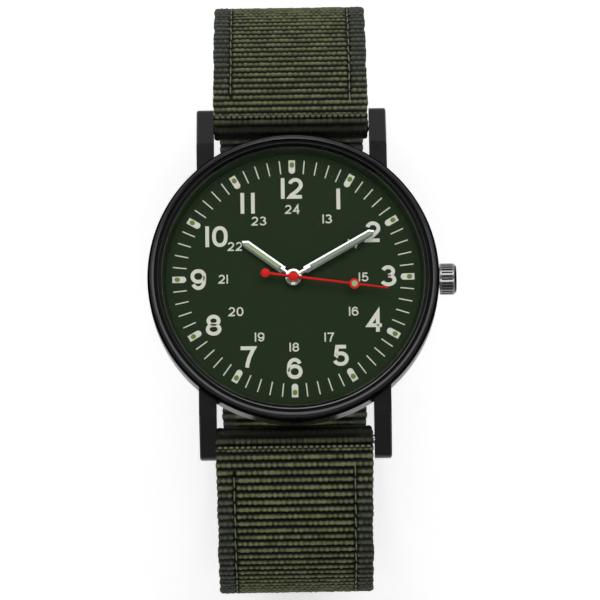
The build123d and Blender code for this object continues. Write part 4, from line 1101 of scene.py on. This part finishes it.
class WATCH_OT_strap(bpy.types.Operator):
    """Weaves both halves of the strap along their routes and sews them."""

    bl_idname = "watch.strap"
    bl_label = "Strap"

    def execute(self, context):
        strap = context.scene.watch_strap
        cloth = woven_finish("strap_weave", strap)
        thread = thread_finish("strap_thread", strap.thread)
        roll_end = TAB_LENGTH + ROLL_RADIUS * math.radians(ROLL_TURN)
        seam = roll_end + 0.5
        sewn = (roll_end + 4.0, roll_end + 30.0)

        short = lug_route(1, 55.0, 18.5, -0.08)
        short.run(short.end[0] - HINGE_PLACE[0])
        short.turn(HINGE_ROLL, -200)
        short.run(2.876)
        short.turn(3.0, 20)
        short.run(8.0)
        long = lug_route(-1, 43.0, 15.5, -0.2)
        long.run(0.94 - long.end[0])
        long.turn(4.0, -32.6)
        long.turn(4.0, 32.6)
        long.run(24.98 - long.end[0])
        long.turn(BACK_RADIUS + LAYER_STEP, 30)

        stitches = []
        for name, route, seed, corner in (("strap_short", short, 3, 0.0), ("strap_long", long, 5, 5.0)):
            band = woven_band(route, strap.band_width / MM, BAND_THICKNESS, strap, seed,
                              seam=seam, sewn=sewn, tail_corner=corner)
            settle(band, name + "_weave", "watch", cloth, 75.0)
            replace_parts(band, name)
            for across, late in ((-SEWN_PLACE, 1.6), (SEWN_PLACE, 0.0)):
                spots = [sewn[0] + late + STITCH_STEP * index for index in range(13)]
                stitches += sewn_line(route, spots, across, strap.thread_width / MM, length=1.8, rise=0.47)
            for index in range(-13, 14):
                stitches += sewn_line(route, [seam], SEAM_STEP * index, 0.6, length=0.34, rise=0.38)
        settle(fuse(stitches), "strap_stitches", "watch", thread, 80.0)
        return {"FINISHED"}


class WATCH_OT_stage(bpy.types.Operator):
    """Sets the floor, the lamps, the world and the camera."""

    bl_idname = "watch.stage"
    bl_label = "Stage"

    def execute(self, context):
        stage = context.scene.watch_stage
        low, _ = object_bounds()
        floor = add_shape(bpy.ops.mesh.primitive_plane_add, size=6)
        shift(0, 0, low.z)
        bpy.ops.object.mode_set(mode="OBJECT")
        floor.name = "stage_floor"
        finish = Finish("stage_floor", Roughness=0.9, Specular_IOR_Level=0.0, Emission_Strength=1.0)
        cloud = finish.noise(0.01, 2.0)
        finish.set("Base Color", finish.blend(cloud, stage.floor, scaled(stage.floor, 1.02)))
        seen = finish.node("LightPath", {}, {}, "Is Camera Ray")
        finish.set("Emission Color", finish.blend(seen, BLACK, scaled(WHITE, 0.45)))
        floor.data.materials.append(finish.material)
        floor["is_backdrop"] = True

        for name, place, size, power in (
            ("key_lamp", (0.0, 0.55, 0.8), (1.3, 0.5), 4.6),
            ("south_lamp", (0.0, -0.3, 0.82), (0.3, 0.2), 0.8),
            ("west_lamp", (-0.45, 0.17, 0.75), (0.2, 0.2), 0.5),
            ("east_lamp", (0.45, 0.17, 0.75), (0.2, 0.2), 0.6),
        ):
            clear_selection()
            bpy.ops.object.light_add(type="AREA", location=place)
            lamp = context.object
            lamp.name = name
            lamp.data.shape = "RECTANGLE"
            lamp.data.size, lamp.data.size_y = size
            lamp.data.energy = power
            lamp.rotation_euler = (-Vector(place)).to_track_quat("-Z", "Y").to_euler()

        # A studio that lights more from 6 o'clock, mirrors a bright wall at 12 and is white to the camera
        world = bpy.data.worlds.new("studio")
        context.scene.world = world
        studio = Nodes(world)
        direction = studio.node("TexCoord", {}, {}, "Generated")
        north = studio.node("SeparateXYZ", {}, {0: direction}, "Y")
        lit = (0.0 - north).at_least(0.0) * 0.45 + stage.light
        mirrored = north.at_least(0.0) ** 2.0 * 0.42 + 0.18
        shown, wall, white = (
            studio.node("Background", {}, {"Color": WHITE, "Strength": strength})
            for strength in (lit, mirrored, 1.0)
        )
        for ray, layer in (("Glossy", wall), ("Transmission", white), ("Camera", white)):
            share = studio.node("LightPath", {}, {}, f"Is {ray} Ray")
            shown = studio.node("MixShader", {}, {0: share, 1: shown, 2: layer})
        studio.node("OutputWorld", {}, {"Surface": shown})

        back = Vector((0, -math.sin(stage.tilt), math.cos(stage.tilt)))
        right = Vector((1, 0, 0))
        up = back.cross(right)
        across = right * math.cos(stage.roll) + up * math.sin(stage.roll)
        upright = up * math.cos(stage.roll) - right * math.sin(stage.roll)
        bpy.ops.object.camera_add()
        camera = context.object
        camera.name = "photo_camera"
        turn = Matrix((across, upright, back)).transposed().to_4x4()
        camera.matrix_world = Matrix.Translation(Vector(PHOTO_MIDDLE) * MM + back * stage.distance) @ turn
        camera.data.sensor_width = 36.0
        camera.data.lens = stage.focal
        camera.data.clip_start = 0.01
        camera.data.clip_end = 20.0
        context.scene.camera = camera
        context.scene.view_settings.view_transform = "Standard"
        return {"FINISHED"}


class WATCH_OT_keepers(bpy.types.Operator):
    """Weaves the fixed and the floating keeper."""

    bl_idname = "watch.keepers"
    bl_label = "Keepers"

    def execute(self, context):
        cloth = bpy.data.materials.get("strap_weave")
        if cloth is None:
            raise RuntimeError("The keepers are cut from the strap's cloth, so the strap comes first")
        thickness, margin, corner = 0.82, 0.42, 0.5
        for node, body in (("keeper_fixed", "watch"), ("keeper_floating", "floating_keeper")):
            low, high = (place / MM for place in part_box(node))
            width = high.x - low.x - 2 * (margin + corner)
            height = high.z - low.z - 2 * (margin + corner)
            loop = Route((-width / 2, low.z + margin), 0.0, -1, (low.y + high.y) / 2, Vector((1, 0, 0)))
            for side in (width, height) * 2:
                loop.run(side)
                loop.turn(corner, 90)
            band = woven_band(loop, high.y - low.y, thickness, context.scene.watch_strap, 9, closed=True)
            settle(band, node + "_weave", body, cloth, 75.0)
            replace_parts(band, node)
        return {"FINISHED"}


class WATCH_PT_panel(bpy.types.Panel):
    """Lists the steps and sizes of the watch."""

    bl_idname = "WATCH_PT_panel"
    bl_label = "Field watch"
    bl_space_type = "VIEW_3D"
    bl_region_type = "UI"
    bl_category = "Watch"

    def draw(self, context):
        for step in STEPS:
            self.layout.operator(step.bl_idname)
        for name, group in GROUPS.items():
            box = self.layout.box()
            settings = getattr(context.scene, name)
            for field in group.__annotations__:
                box.prop(settings, field)


GROUPS = {
    "watch_dial": DialSettings,
    "watch_hands": HandSettings,
    "watch_case": CaseSettings,
    "watch_strap": StrapSettings,
    "watch_stage": StageSettings,
}
STEPS = (WATCH_OT_case, WATCH_OT_movement, WATCH_OT_dial, WATCH_OT_hands, WATCH_OT_strap,
         WATCH_OT_keepers, WATCH_OT_stage)


def register():
    """Registers the settings, the steps and the panel."""
    for name, group in GROUPS.items():
        bpy.utils.register_class(group)
        setattr(bpy.types.Scene, name, bpy.props.PointerProperty(type=group))
    for step in (*STEPS, WATCH_PT_panel):
        bpy.utils.register_class(step)


def unregister():
    """Takes the panel, the steps and the settings away again."""
    for step in reversed((*STEPS, WATCH_PT_panel)):
        bpy.utils.unregister_class(step)
    for name, group in GROUPS.items():
        delattr(bpy.types.Scene, name)
        bpy.utils.unregister_class(group)


def main():
    """Builds the watch step by step."""
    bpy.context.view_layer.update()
    register()
    bpy.ops.watch.case()
    bpy.ops.watch.movement()
    bpy.ops.watch.dial()
    bpy.ops.watch.hands()
    bpy.ops.watch.strap()
    bpy.ops.watch.keepers()
    bpy.ops.watch.stage()


if __name__ == "__main__":
    main()
